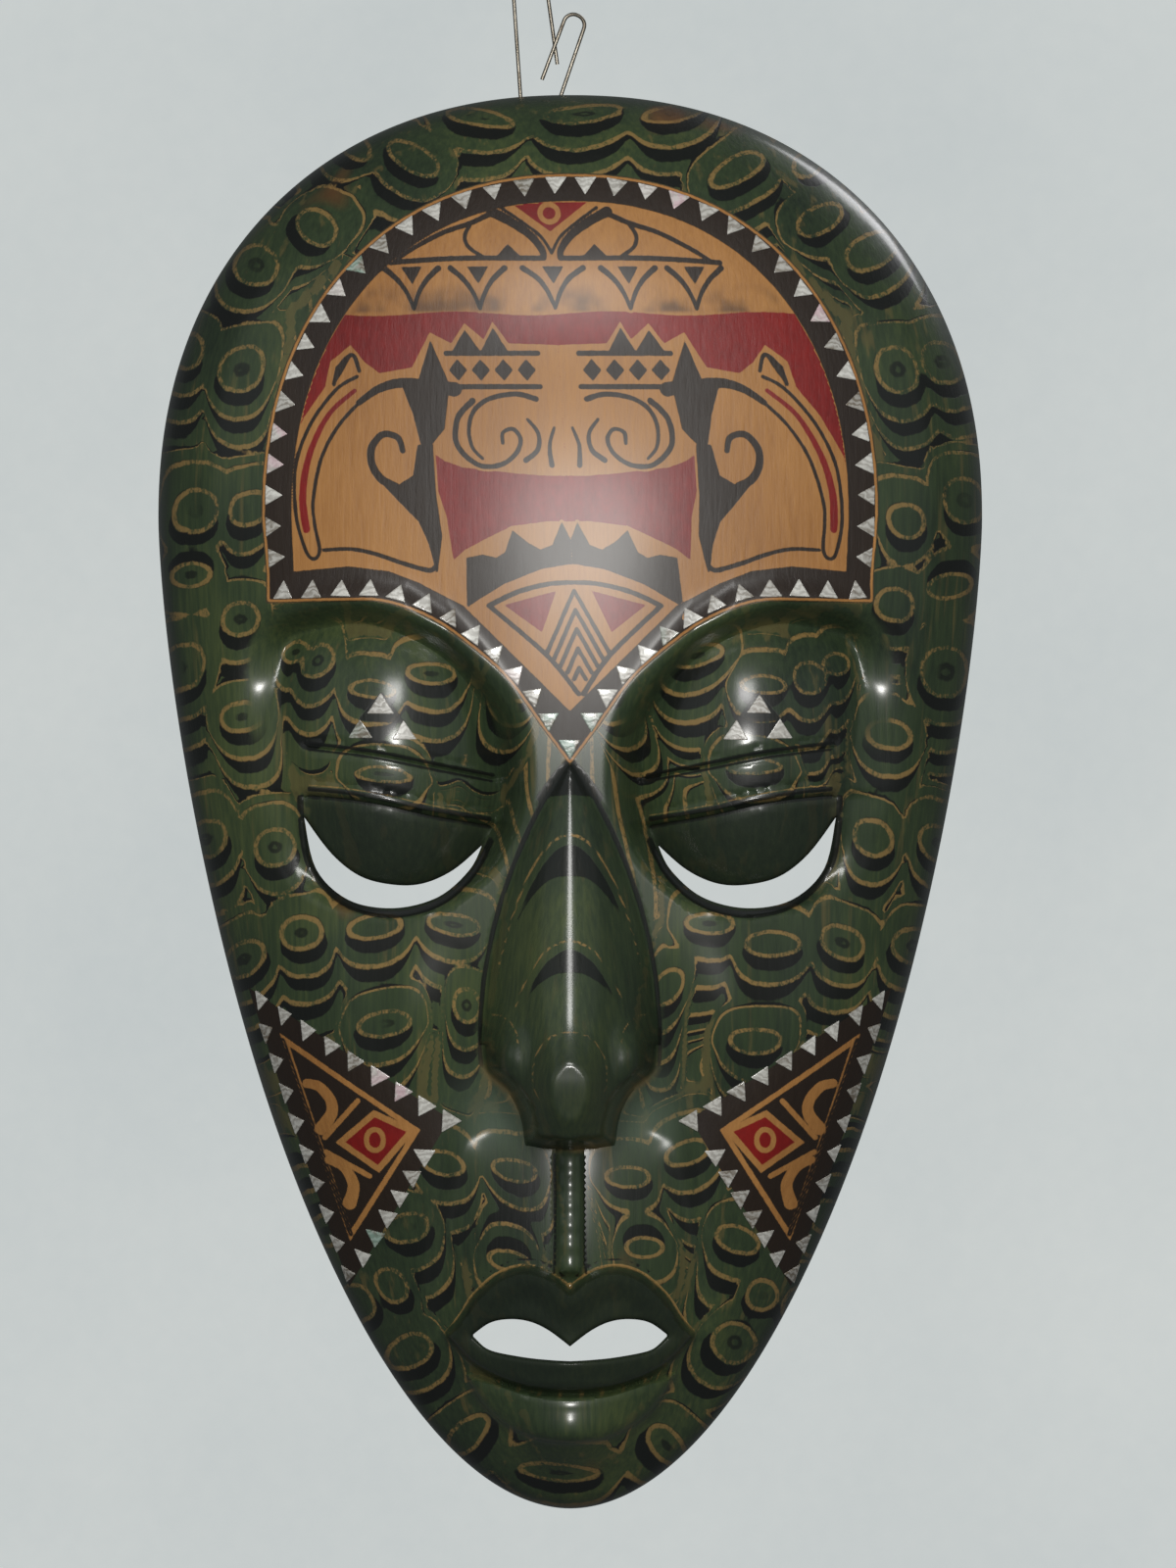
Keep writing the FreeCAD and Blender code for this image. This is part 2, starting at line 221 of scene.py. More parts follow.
def outline(a, q):
    """Distance in from the outline of the mask, near it."""
    s = 1 - rho(a, q)
    step = 0.5
    ga = (rho(a + step, q) - rho(np.maximum(a - step, 0), q)) / (step + np.minimum(a, step))
    gq = (rho(a, q + step) - rho(a, q - step)) / (2 * step)
    return s / np.maximum(np.hypot(ga, gq), 1e-4)


def openings(x, q):
    """Distance outside the eye slits and the mouth."""
    a = np.abs(x)
    return np.minimum(-inside(a, q, SLIT), -inside(x, q, MOUTH))


def roll(s, r):
    """How far a rounded edge of this radius has dropped, at a distance in from the edge."""
    t = np.clip(s, 0, r)
    return r - np.sqrt(np.maximum(r * r - (r - t) ** 2, 0))


def face(a, q):
    """The face before its sharp features: how far it stands off the wall."""
    s = 1 - rho(a, q) ** 2.8
    d = 8 + 34 * swell(s)
    d = d + 8 * hump(a, q, 52, 112, 34, 46)
    d = d + 12 * hump(a, q, 0, 52, 40, 46) * smooth(0, 0.2, s)
    brow = np.interp(a, [12, 20, 30, 40, 50, 62, 74], [193, 203, 214.5, 221.5, 224, 222.5, 219.5])
    ridge = np.exp(-((q - brow) / 5.2) ** 2) * smooth(10, 24, a) * (1 - smooth(60, 78, a))
    return d + 2.6 * ridge


def relief(x, q):
    """How far the carved face stands off the wall."""
    a = np.abs(x)
    d = face(a, q)
    # a soft step from the cheek down to the mouth
    fold = 29 + 6 * smooth(100, 45, q)
    d = d - 2.6 * (1 - smooth(fold - 4, fold + 3, a)) * smooth(108, 92, q) * smooth(16, 36, q)
    # the eye: a lid dome that meets the brow, the nose and the temple in a crease
    du = (a - 44) / 25
    dv = (q - 187) / 31
    lid = 41.5 - 11.5 * np.abs(du) ** 2.1 - 8.5 * np.abs(dv) ** 2.3
    below = smooth(0.2, 2.0, np.interp(a, LID_EDGE[:, 0], LID_EDGE[:, 1]) - q)
    lid = lid - 1.6 * below
    d_fold = distance(a, q, LID_FOLD)
    d_edge = distance(a, q, LID_EDGE)
    lid = lid - 0.75 * np.exp(-((d_fold - 1.0) / 0.55) ** 2) + 0.25 * np.exp(-(d_fold / 0.6) ** 2)
    lid = lid + 0.8 * np.exp(-(d_edge / 1.0) ** 4) - 0.5 * np.exp(-((d_edge - 1.9) / 0.6) ** 2)
    reach = 16.0
    edge = np.where(inside(a, q, EYE_EDGE) > 0, 0.0, distance(a, q, EYE_EDGE, closed=True, reach=reach))
    pull = (15 * np.maximum(du, 0) ** 2 + 9 * np.minimum(du, 0) ** 2
            + 5.6 * np.maximum(dv, 0) ** 2 + 2.2 * np.minimum(dv, 0) ** 2) / (du * du + dv * dv + 1e-6)
    t = np.clip(edge / pull, 0, 1)
    wall = 1 - (1 - t) ** 2.1
    d = lid + (d - lid) * wall
    d = d + 0.9 * np.exp(-(distance(a, q, SLIT_BEAD) / 0.95) ** 2)
    # nose: flanks to a rounded ridge, wings, and a deep undercut at its foot
    n = nose_half(q)
    u = np.clip(a / n, 0, 1.0)
    k = 0.55
    flank = 1 - (np.sqrt(u * u + k * k) - k) / (math.sqrt(1 + k * k) - k)
    rise = np.clip((187 - q) / (187 - 108), 0, 1) ** 0.95
    rise = np.where(q < 108, 1 - 0.16 * ((108 - q) / 17) ** 2, rise)
    region = inside(x, q, NOSE)
    foot = np.where(q < 116, smooth(-0.3, 3.4, region), smooth(-0.4, 1.2, region))
    bulb = 0.30 * np.exp(-((a / 8.5) ** 2 + ((q - 104) / 11) ** 2))
    bulb = bulb - 0.13 * np.exp(-(((a - 10.5) / 3.4) ** 2 + ((q - 110) / 9) ** 2))
    wing = 0.24 * np.exp(-(((a - 16) / 5.2) ** 2 + ((q - 113) / 7.5) ** 2))
    d = d + 26 * (np.minimum(rise * flank + bulb * 0.45, 1.04) + wing) * foot
    scoop = hump(a, q, 19, 98, 11, 10) * (1 - smooth(-0.5, 1.0, region))
    d = d - 2.2 * scoop
    # philtrum
    ridge = np.sqrt(np.clip(1 - (a / 3.5) ** 2, 0, 1)) * smooth(58.6, 60.6, q) * smooth(92, 89, q)
    notch = 0.12 * np.sin(q * 1.25)
    d = d + (2.6 + notch) * ridge
    # lips and chin
    lip = inside(x, q, LIPS)
    d = d + 5.2 * smooth(-0.9, 1.3, lip) * (1 - 0.42 * smooth(1.2, 8.5, lip) * smooth(36, 46, q))
    chin = inside(x, q, CHIN)
    d = d + 3.4 * smooth(-0.7, 1.5, chin) * smooth(-1.0, 1.5, -lip) + 5.0 * hump(a, q, 0, 18, 15, 9)
    d = d - roll(openings(x, q), 1.1)
    return d - roll(outline(a, q), 3.2)


def hollow(a, q):
    """How deep the hollow behind the mask is."""
    s = 1 - (rho(a, q) / 0.92) ** 2.8
    inner = smooth(0, 0.35, s)
    d = 30 * swell(s) - 9.9 * hump(a, q, 44, 184, 38, 40) * inner
    d = d + 7.2 * hump(a, q, 52, 112, 34, 46) * inner + 10.8 * hump(a, q, 0, 52, 40, 46) * inner
    d = d + 11.7 * hump(a, q, 0, 118, 16, 40)
    # shallow gouge marks left by the carver
    flute = np.abs(np.sin(a * 0.41 + 0.9 * np.sin(q / 31) + 0.5 * np.sin(q / 9)))
    marks = 0.75 * (1 - flute) * (0.55 + 0.45 * np.sin(q / 5.5 + 2 * np.sin(a / 13)))
    d = d - marks * smooth(0.02, 0.15, s)
    return np.maximum(d, 0)


# ------------------------------------------------------------------ meshes
def resample(line, step, closed=True):
    p = np.vstack((line, line[:1])) if closed else line
    run = np.concatenate(([0], np.cumsum(np.hypot(*np.diff(p, axis=0).T))))
    count = max(int(round(run[-1] / step)), 3)
    at = np.linspace(0, run[-1], count + (0 if closed else 1), endpoint=not closed)
    return np.column_stack((np.interp(at, run, p[:, 0]), np.interp(at, run, p[:, 1])))


def sideways(line, closed=True):
    """Unit normals of a line, a quarter turn left of the way it runs."""
    if closed:
        way = np.roll(line, -1, 0) - np.roll(line, 1, 0)
    else:
        way = np.gradient(line, axis=0)
    way = way / np.maximum(np.hypot(way[:, 0], way[:, 1]), 1e-9)[:, None]
    return np.column_stack((-way[:, 1], way[:, 0]))


def turned_left(loop):
    """The loop run so that its left side is its inside."""
    x, z = loop.T
    area = np.sum(x * np.roll(z, -1) - np.roll(x, -1) * z)
    return loop if area > 0 else loop[::-1].copy()


def rim_loop(step, share=1.0):
    """The outline of the mask, or a smaller one like it."""
    turn = np.linspace(0, math.pi / 2, 200)
    c, s = np.maximum(np.cos(turn), 0), np.maximum(np.sin(turn), 0)
    top = np.column_stack((HALF_WIDTH * share * c ** (2 / 2.2),
                           Z_WIDE + (Z_TOP - Z_WIDE) * share * s ** (2 / 2.2)))
    k = share ** 1.942
    low = np.column_stack((HALF_WIDTH * (k * c * c) ** (1 / 1.942),
                           Z_WIDE - Z_WIDE * (k * s * s) ** (1 / 1.5)))
    right = np.vstack((low[::-1], top[1:]))
    loop = np.vstack((right, right[1:-1][::-1] * (-1, 1)))
    return turned_left(resample(loop, step))


def net(low, high, pitch):
    """Points of a triangular net."""
    rows = np.arange(low[1], high[1], pitch * math.sqrt(3) / 2)
    points = []
    for i, z in enumerate(rows):
        x = np.arange(low[0] + (pitch / 2 if i % 2 else 0), high[0], pitch)
        points.append(np.column_stack((x, np.full(len(x), z))))
    return np.vstack(points)


def triangles(points, loops, keep):
    """Joins points into triangles that respect the closed loops, each a run of the first points."""
    edges = []
    start = 0
    for n in loops:
        edges += [(start + i, start + (i + 1) % n) for i in range(n)]
        start += n
    made = delaunay_2d_cdt([Vector(p) for p in points], edges, [], 0, 1e-7)
    where = np.array([tuple(v) for v in made[0]])
    tri = np.array(made[2])
    order = np.array([o[0] if o else -1 for o in made[3]])
    middle = where[tri].mean(1)
    good = keep(middle[:, 0], middle[:, 1])
    tri = order[tri[good]]
    return tri[(tri >= 0).all(1)]


def make_mesh(name, places, faces, fields=None):
    mesh = bpy.data.meshes.new(name)
    mesh.from_pydata(places.tolist(), [], [list(map(int, f)) for f in faces])
    mesh.update()
    for key, values in (fields or {}).items():
        layer = mesh.attributes.new(key, "FLOAT", "POINT")
        layer.data.foreach_set("value", np.asarray(values, np.float32))
    piece = bpy.data.objects.new(name, mesh)
    bpy.context.scene.collection.objects.link(piece)
    return piece


def select_only(piece):
    bpy.ops.object.select_all(action="DESELECT")
    piece.select_set(True)
    bpy.context.view_layer.objects.active = piece


def tidy_faces(piece, angle=None):
    """Merges doubles, turns every face outwards and shades the piece."""
    select_only(piece)
    bpy.ops.object.mode_set(mode="EDIT")
    bpy.ops.mesh.select_all(action="SELECT")
    bpy.ops.mesh.remove_doubles(threshold=1e-6)
    bpy.ops.mesh.normals_make_consistent(inside=False)
    bpy.ops.object.mode_set(mode="OBJECT")
    if angle is None:
        bpy.ops.object.shade_smooth()
    else:
        bpy.ops.object.shade_smooth_by_angle(angle=angle)


def place(x, y, z):
    """Pattern sizes to metres in the frame."""
    return np.column_stack((x * KX * MM, y * MM, z * KZ * MM))


def clear_of(loop_points, field, least):
    return loop_points[field(loop_points[:, 0], loop_points[:, 1]) > least]


def body_margin(x, z):
    """Distance into the wood from its outline or an opening, whichever is nearer."""
    return np.minimum(outline(np.abs(x), z), openings(x, z))


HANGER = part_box("hanger_screw")
HANGER_X = (HANGER[0].x + HANGER[1].x) / 2 / MM
HANGER_Z = (HANGER[0].z + HANGER[1].z) / 2 / MM
RECESS = polygon([(HANGER_X - 13.4, Z_TOP + 1), (HANGER_X - 5.98, HANGER_Z + 2.2),
                  (HANGER_X - 4.2, HANGER_Z - 2.1),
                  (HANGER_X + 0.5, HANGER_Z - 3.8), (HANGER_X + 5.2, HANGER_Z - 2.1),
                  (HANGER_X + 6.98, HANGER_Z + 2.2),
                  (HANGER_X + 14.4, Z_TOP + 1)])
RECESS_DEPTH = 3.3


def back(x, z):
    """How deep the back lies under the wall plane: the hollow and the recess for the hanger."""
    cut = RECESS_DEPTH * smooth(-0.25, 0.25, inside(x, z, RECESS))
    return np.maximum(hollow(np.abs(x), z), cut)


# ------------------------------------------------------------------ batik pattern on the green wood
# Eyes of the pattern, each in its own upright column of bands: place, half width of the
# column, half height of the eye, -1 where dark crescents hang below it or 1 where they
# arch over it, and how far the column leans to the left in degrees.
EYES = [
    (0, 344, 14, 3, -1, 0), (23, 343, 12, 3, -1, 8), (40, 330, 10, 6, -1, 25), (56, 335, 8, 5, -1, 50),
    (61, 318, 9, 6, -1, 42), (76, 309, 9, 9, -1, 32), (80, 281, 8, 11, -1, 10), (93, 286, 8, 10, -1, 14),
    (81, 248, 7, 8, -1, 0), (95, 250, 8, 11, -1, 2), (80, 222, 7, 8, -1, 0), (95, 208, 9, 12, -1, -5),
    (79, 194, 8, 7, -1, -4), (90, 168, 8, 9, -1, -12), (74, 166, 7, 9, -1, -9), (83, 138, 8, 8, -1, -18),
    (66, 140, 8, 8, -1, -10), (49, 141, 10, 5, -1, -3), (31, 146, 9, 4, -1, 0), (24, 128, 5, 8, -1, 0),
    (31, 86, 8, 5, -1, 6), (14, 84, 8, 4, -1, 0), (40, 68, 8, 6, -1, -20), (56, 50, 8, 10, -1, -34),
    (62, 70, 6, 8, 1, -24), (40, 38, 9, 8, -1, -40), (46, 52, 6, 8, -1, -20), (24, 18, 10, 6, -1, -50),
    (0, 12, 15, 3, -1, 0), (33, 208, 9, 4, -1, 0), (48, 200, 8, 3, -1, 0), (60, 206, 6, 7, -1, 0),
    (67, 211, 5, 4, -1, 0), (45, 182, 10, 2, -1, 0), (92, 122, 6, 9, 1, -20), (12, 203, 6, 6, -1, 20),
    (46, 117, 9, 5, -1, -3), (93, 232, 8, 5, 1, 0), (17, 66, 7, 4, 1, 0),
]
BAND = 7.0          # from one band of the pattern to the next along a column


def batik(x, z):
    """Ring number, how dark the crescent is, and how fast the rings follow each other."""
    def rings(x, z):
        wx = x + 1.9 * np.sin(z / 15 + 0.9) + 0.7 * np.sin(z / 6.3 + x / 19)
        wz = z + 1.6 * np.sin(x / 15 + 1.7) + 0.5 * np.sin(x / 5.1 + z / 23)
        total = np.full_like(x, math.exp(-19))
        ring_sum = total * (1.2 + wx / 5.2 + 0.3 * np.sin(wz / 9))
        dark = np.zeros_like(x)
        for k, (cx, cz, half, eye, kind, slant) in enumerate(EYES):
            for side in ((1,) if cx == 0 else (1, -1)):
                dx = wx - side * (cx + 1.2 * math.sin(k * 2.1 + side))
                dz = wz - cz - 2.5 * math.sin(k * 1.3 + side)
                turn = math.radians(side * slant)
                u = (dx * math.cos(turn) + dz * math.sin(turn)) / (half * 1.3)
                v = (dz * math.cos(turn) - dx * math.sin(turn)) * -kind
                tall = 0.42 * eye + 0.8
                rise = 0.62 * np.minimum(np.abs(v) / tall, 1) + np.maximum(np.abs(v) - tall, 0) / BAND
                flat = np.minimum(u * u, 1.1)
                arms = 1.1 * flat / (1 - 0.78 * flat)
                hang = rise + 0.7 * arms
                oval = np.sqrt(rise * rise + arms)
                below = smooth(0.0, 1.0, -v / (tall + 2))
                ring = oval * (1 - below) + np.maximum(hang, oval) * below
                crowding = 1.6 * np.maximum(ring - 1.1, 0) * (1 - below)
                cost = ring + crowding + 2 * np.maximum(np.abs(u) - 1.0, 0)
                weight = np.exp(-4.2 * np.minimum(cost, 9))
                total += weight
                ring_sum += weight * ring
                dark += weight * smooth(0.1, 0.9, -v / (tall + 1)) * smooth(0.95, 0.3, np.abs(u))
        return ring_sum / total, dark / total
    ring, dark = rings(x, z)
    h = 0.4
    gx = rings(x + h, z)[0] - rings(x - h, z)[0]
    gz = rings(x, z + h)[0] - rings(x, z - h)[0]
    return ring, dark, np.hypot(gx, gz) / (2 * h)


NOSE_EDGE = through([(0.4, 185.6)] + NOSE_SIDE + [(21.8, 110)])
ROOT_CAP = polygon([(0, 186), (3, 183.5), (8.6, 176), (4, 176.4), (0, 176.8), (-4, 176.4), (-8.6, 176),
                    (-3, 183.5)])
BRIDGE_CAP = through([(0, 164.6), (4, 162.6), (9, 155.6), (13, 146), (9.6, 151.4), (5, 156), (0, 157),
                      (-5, 156),
                      (-9.6, 151.4), (-13, 146), (-9, 155.6), (-4, 162.6)], closed=True, steps=4)
TIP_CAP = through([(0, 139.2), (5, 136.6), (9, 131), (12, 124.6), (8.6, 129.8), (4, 133), (0, 133.6),
                   (-4, 133),
                   (-8.6, 129.8), (-12, 124.6), (-9, 131), (-5, 136.6)], closed=True, steps=4)


def green_paint(x, z):
    """Fields of the green wood: hand-drawn black shapes, tan lines, plain places, painted shade and a
    painted highlight.
    """
    a = np.abs(x)
    black = stroke(a, z, NOSE_EDGE, 1.5, 1.0)
    for cap_line in (ROOT_CAP, BRIDGE_CAP, TIP_CAP):
        black = np.maximum(black, inside(x, z, cap_line))
    for lid_line, width in ((LID_EDGE, 1.1), (LID_EDGE - (0, 2.0), 0.9), (LID_FOLD, 0.9),
                            (LID_FOLD - (0, 1.6), 0.7), (SLIT_BEAD, 1.6)):
        black = np.maximum(black, stroke(a, z, lid_line, width))
    black = np.maximum(black, inside(a, z, polygon([(40.9, 194.6), (51.2, 195.2), (46, 201.5)])) + 0.4)
    for groove in ([(-3.9, 89), (-3.7, 76), (-3.8, 60)], [(3.9, 89), (3.7, 76), (3.8, 60)]):
        black = np.maximum(black, stroke(x, z, through(groove), 0.8))
    crease = through([(0, 56.4), (3.4, 59.2), (7.6, 61.3), (12.5, 61.6), (18.4, 59.3), (24, 54),
                      (27.6, 48.4), (31.4, 43.6)])
    tan = stroke(a, z, crease, 0.8, 0.5)
    black = np.maximum(black, stroke(a, z, crease + (0, 1.2), 0.9, 0.5))
    for scallop, width, end in (([(0, 167.2), (4.6, 165), (9.8, 157.6), (14.4, 146), (17.6, 134)], 0.7,
                                 0.4),
                                ([(0, 141.6), (5.6, 139), (10, 133), (13.4, 125)], 0.6, 0.4),
                                ([(0, 119.4), (5, 117.8), (8.4, 113), (8.8, 106), (6, 100)], 0.5, 0.3),
                                ([(21, 123), (16.6, 122.8), (13.4, 120), (12.6, 116)], 0.5, 0.4)):
        tan = np.maximum(tan, stroke(a, z, through(scallop), width, end))
    tan = np.maximum(tan, stroke(a, z, LID_EDGE + (0, 1.1), 0.5))
    tan = np.maximum(tan, stroke(a, z, BROW_EDGE, 0.9, 0.7))
    nose = inside(x, z, NOSE)
    lid = inside(a, z, EYE_EDGE)
    ball = np.minimum(lid, np.interp(a, LID_EDGE[:, 0], LID_EDGE[:, 1]) - 1.5 - z)
    lips = inside(x, z, LIPS)
    plain = np.maximum.reduce([smooth(-1.5, 0.5, nose), smooth(-0.5, 0.5, ball), smooth(-1.2, 0, lips),
                               smooth(-1, 1, inside(x, z, CHIN)),
                               smooth(4.6, 3.2, a) * smooth(58, 60, z) * smooth(92, 90, z)])
    brow_roll = smooth(0, 2, np.minimum(distance(a, z, EYE_EDGE, closed=True),
                                        FAR)) * smooth(9, 7.5, distance(a, z, EYE_EDGE, closed=True))
    plain = np.maximum(plain, brow_roll * (lid < 0) * smooth(186, 196, z) * smooth(8, 14, a))
    # painted shade: darkens the underside of the eyeball, the lips, the nose's flanks and foot, the rims of
    # the openings and the rolled outline
    dark = np.maximum.reduce([0.9 * smooth(-0.5, 1.5, ball), 0.35 * smooth(0, 2, nose) * smooth(2, 9, a),
                              0.95 * smooth(-0.6, 0.8, lips),
                              0.6 * smooth(128, 108, z) * smooth(0, 2, nose),
                              0.9 * smooth(2.2, 0.2, openings(x, z)), smooth(5, 0.3, outline(a, z)) * 0.7])
    worn = smooth(1.5, 0, np.abs(nose)) * smooth(118, 106, z) * 0.8
    # painted highlight: a paler green patch beside each nose wing
    pale = hump(a, z, 19, 99, 12, 11) * (nose < 0)
    matt = np.maximum(smooth(1.6, 0.3, openings(x, z)),
                      0.9 * np.clip(1.6 * hump(a, z, 32, 118, 24, 44), 0, 1) * (nose < 0) * (lid < 0))
    return {"black": black, "tan": tan, "plain": np.clip(plain, 0, 1), "dark": dark, "worn": worn,
            "pale": pale, "matt": matt}


# ------------------------------------------------------------------ painted panels
BROW_ROW = [(70, 227), (57, 227.2), (44.5, 226.8), (31.7, 222), (20.5, 214), (12.5, 206.5), (4.6, 195.5)]


def arch_line(across, up, foot):
    turn = np.linspace(0, math.pi / 2, 40)
    half = np.column_stack((across * np.cos(turn) ** (2 / 2.2), Z_WIDE + up * np.sin(turn) ** (2 / 2.2)))
    half[-1, 0] = 0
    return np.vstack((foot, half))


def mirrored(half):
    """A closed outline from its right half, which starts and ends on the middle line."""
    return np.vstack((half, half[1:-1][::-1] * (-1, 1)))


def panel_loop(grow):
    """The forehead panel, measured from the line on which the chips' bases lie."""
    brow = through(BROW_ROW, steps=4)
    brow = brow + sideways(brow, closed=False) * (2.4 + grow)
    foot_x = 73.6 + grow
    brow = brow[brow[:, 0] < foot_x - 0.5]
    brow = np.vstack(((foot_x, brow[0, 1]), brow, (0, 185.2 - grow * 1.4)))
    arch = arch_line(74.8 + grow, 83.4 + grow, (foot_x, 231))
    return mirrored(np.vstack((brow[::-1], arch)))


BROW_EDGE = panel_loop(0.6)
BROW_EDGE = BROW_EDGE[(BROW_EDGE[:, 0] >= 0) & (BROW_EDGE[:, 1] < 231)]


def lean(z):
    """The painting's middle line isn't quite upright."""
    return 2.9 - 0.0664 * (z - 198)


def forehead_paint(x, z):
    """Black, red and smoky fields of the forehead painting, over its tan ground."""
    a = np.abs(x - lean(z))
    base = inside(x, z, panel_loop(0.0))
    field = inside(x, z, mirrored(np.vstack(([(0, 197.2), (26, 222.9), (29.9, 224.9), (36.6, 228.4),
                                              (44.3, 231.4), (54.2, 232.6)],
                                             arch_line(68.2, 77.2, (67.6, 231.4))))))
    black = np.minimum(base, -field)
    parts = []

    def line(points, start, end=None):
        parts.append(stroke(a, z, through(points), start, end))

    def patch(points, grow=0.0):
        parts.append(inside(a, z, polygon(points)) + grow)

    # leaves under the arch
    line([(39.3, 307), (34.1, 310.4), (26.4, 314.4), (19.6, 316.7), (13.7, 319.4)], 1.0, 1.4)
    line([(14.2, 319.6), (9.9, 317.3), (5.1, 313.8), (2.4, 310.2), (2, 308.2)], 2.6, 1.4)
    line([(41, 307), (24, 308), (2, 308)], 1.3)
    line([(19.6, 316.2), (21, 313.5), (20.2, 310.8), (17, 308.4)], 1.0)
    patch([(7.2, 308), (10.6, 311.6), (14, 308)])
    line([(11.7, 320.6), (7, 317.2), (2.4, 313.4), (0, 309.2)], 0.8)
    # hanging points
    for ca, span in ((34.6, 6.6), (18.4, 6.6), (0, 7.4)):
        for way in (1, -1):
            if ca == 0 and way < 0:
                continue
            line([(ca, 295.6), (ca + way * 1.4, 299.4), (ca + way * 3.6, 302.8), (ca + way * span, 305.6)],
                 0.9, 1.5)
        patch([(ca - 2.6, 306), (ca + 2.6, 306), (ca, 301.6)])
    # red band and the border down each side
    land = polygon([(0, 286.6), (12, 287), (15.6, 292.4), (18, 288), (22.5, 292), (26, 287), (31.1, 289.8),
                    (36, 281.2),
                    (44, 279.8), (47.6, 282.6), (50.7, 286.8), (55.9, 282.8), (57.6, 276.6), (63.2, 269.2),
                    (68.2, 259.6),
                    (69.6, 251), (69.4, 226), (0, 180)])
    band = np.minimum(np.minimum(field, 294.4 + 0.5 * np.sin(x / 6) - z), -inside(a, z, land))
    red = band
    parts_red = [inside(a, z, polygon([(34.7, 262), (32.4, 254.1), (29.9, 244.6), (28.9, 234),
                                       (25.9, 236.6), (21.8, 238.7), (14.1, 242.4),
                                       (5.3, 243.5), (-2, 243.5), (-2, 254.6), (4.5, 254.6), (11.4, 255.1),
                                       (25.2, 256.7), (29.5, 258.3)]))]
    # a border of lozenges with points over it
    for ca, tip, half_base, foot in ((15.6, 290.9, 3.6, 284.6), (22.5, 290.4, 3.8, 284.6),
                                     (31.1, 287.9, 4.0, 277)):
        patch([(ca - half_base, foot), (ca, tip), (ca + half_base, foot)])
    line([(5, 284.6), (16, 284.6), (27.4, 284.6)], 1.3)
    line([(5, 276.4), (16, 276.4), (27.4, 276.4)], 1.3)
    for ca in (8, 13.6, 19.2, 24.8):
        patch([(ca - 2.3, 280.5), (ca, 283.2), (ca + 2.3, 280.5), (ca, 277.8)])
    # the two big scrolls
    line([(26, 275.8), (32, 276.6), (38.8, 277.4), (44.4, 276), (49.6, 272.6)], 3.6, 1.4)
    patch([(27, 277.6), (39, 277.4), (36.6, 270), (35, 262), (32.6, 262), (29, 266)])
    patch([(32.4, 262), (35.6, 262), (37.2, 254.6), (42, 251.6), (45.2, 253.2), (41, 248.4), (36.6, 243.6),
           (34.4, 238), (33.2, 231.4),
           (31.6, 240), (32.4, 250)], 0.3)
    line([(42, 252), (45.4, 254), (47.4, 257.8), (47, 261.8), (44.2, 264.8), (40.6, 264), (39.6, 260.8)],
         2.2, 1.4)
    line([(33.6, 232.2), (35.4, 231.6), (41.7, 233.4), (48, 235.6), (53.9, 236.8), (60.6, 236.6)], 1.3, 0.9)
    # long leaf at each side
    line([(49.6, 279), (54.8, 276), (61.4, 268.1), (65.6, 259.2), (66.8, 251.7), (66.6, 243), (64.6, 235.6),
          (62.6, 234.6),
          (61.6, 237), (62.4, 243), (62.3, 249.2), (59.6, 259.2), (54.8, 267.2), (48.5, 273.5)], 0.9)
    line([(49, 280.4), (50.4, 284.4), (53.8, 281.6), (55.4, 277.2)], 1.0)
    patch([(50.6, 284.6), (54.6, 281.4), (55.6, 276.8), (53, 280.6)], 0.2)
    parts_red.append(stroke(a, z, through([(50.4, 275.6), (56.6, 270.4), (60.8, 263.8), (63.6, 256.7),
                                           (64.9, 249.2), (64.6, 241.8)]), 1.0, 2.0))
    # curled tendrils under the combs
    line([(6.2, 273.4), (11, 274.6), (17.2, 273.6), (21.3, 270.8), (23, 266.6), (22.6, 261.8),
          (20.2, 258.8)], 1.4, 0.8)
    line([(21.7, 273), (25.6, 268.8), (26.4, 263.1), (24.2, 259.4), (20.4, 257), (15.6, 257.4), (12, 260),
          (10.6, 263.4),
          (12.2, 266), (14.8, 265.2), (15, 262.6)], 1.5, 0.9)
    line([(9.6, 258.4), (6.6, 261), (6.2, 265), (8.6, 268.4)], 1.4, 0.8)
    line([(3.4, 257.2), (3.6, 262), (2.2, 266.4)], 1.3, 0.7)
    # fan at the root of the nose
    fan = np.minimum(inside(a, z, polygon([(0, 239), (1.9, 243.4), (4.6, 237.8), (7.5, 236.6),
                                           (10.6, 238.4), (14.1, 241.4), (16.2, 236),
                                           (18.4, 234.6), (21.6, 235.4), (25.8, 234.6), (26.4, 222.6),
                                           (0, 222)])),
                     -inside(a, z, polygon([(-1, 233), (1.1, 233), (7.8, 231.8), (16.8, 228.3),
                                            (25.8, 222.9), (25, 200), (-1, 200)])))
    parts.append(fan)
    line([(0, 228.6), (6.2, 228.2), (14, 226.2), (21, 222.9)], 1.1, 1.3)
    line([(21, 222.9), (7.8, 210.9), (0.6, 201.4)], 1.2, 1.2)
    for i in range(5):
        reach_a = 7.6 - 1.55 * i
        tip = 226.6 - 4.7 * i
        line([(0, tip), (reach_a, tip - 2.0 * reach_a)], 1.0, 1.1)
    parts_red.append(inside(a, z, polygon([(18, 223.2), (3.8, 227), (8.4, 216)])) - 0.3)
    parts_red.append(np.minimum(inside(a, z, polygon([(-1, 321.9), (9.8, 322.2), (0, 314.6), (-1, 314.6)])),
                                np.abs(distance(a, z, ring_line(0, 319.2, 2.2), closed=True, reach=4.0))
                                - 0.65))
    ink = np.maximum.reduce(parts)
    ink = np.where(field > 0, ink, -2.0)
    red = np.maximum.reduce([np.minimum(band, -ink - 0.7)]
                            + [np.minimum(p, -ink - 0.55) for p in parts_red])
    red = np.where(field > 0, red, -2.0)
    black = np.maximum(np.minimum(black, base), np.minimum(ink, field))
    smoke = smooth(303, 296.5, z) * smooth(294.2, 295.4, z) * smooth(0, 2, field)
    return {"black": black, "red": red, "smoke": smoke, "edge": base}


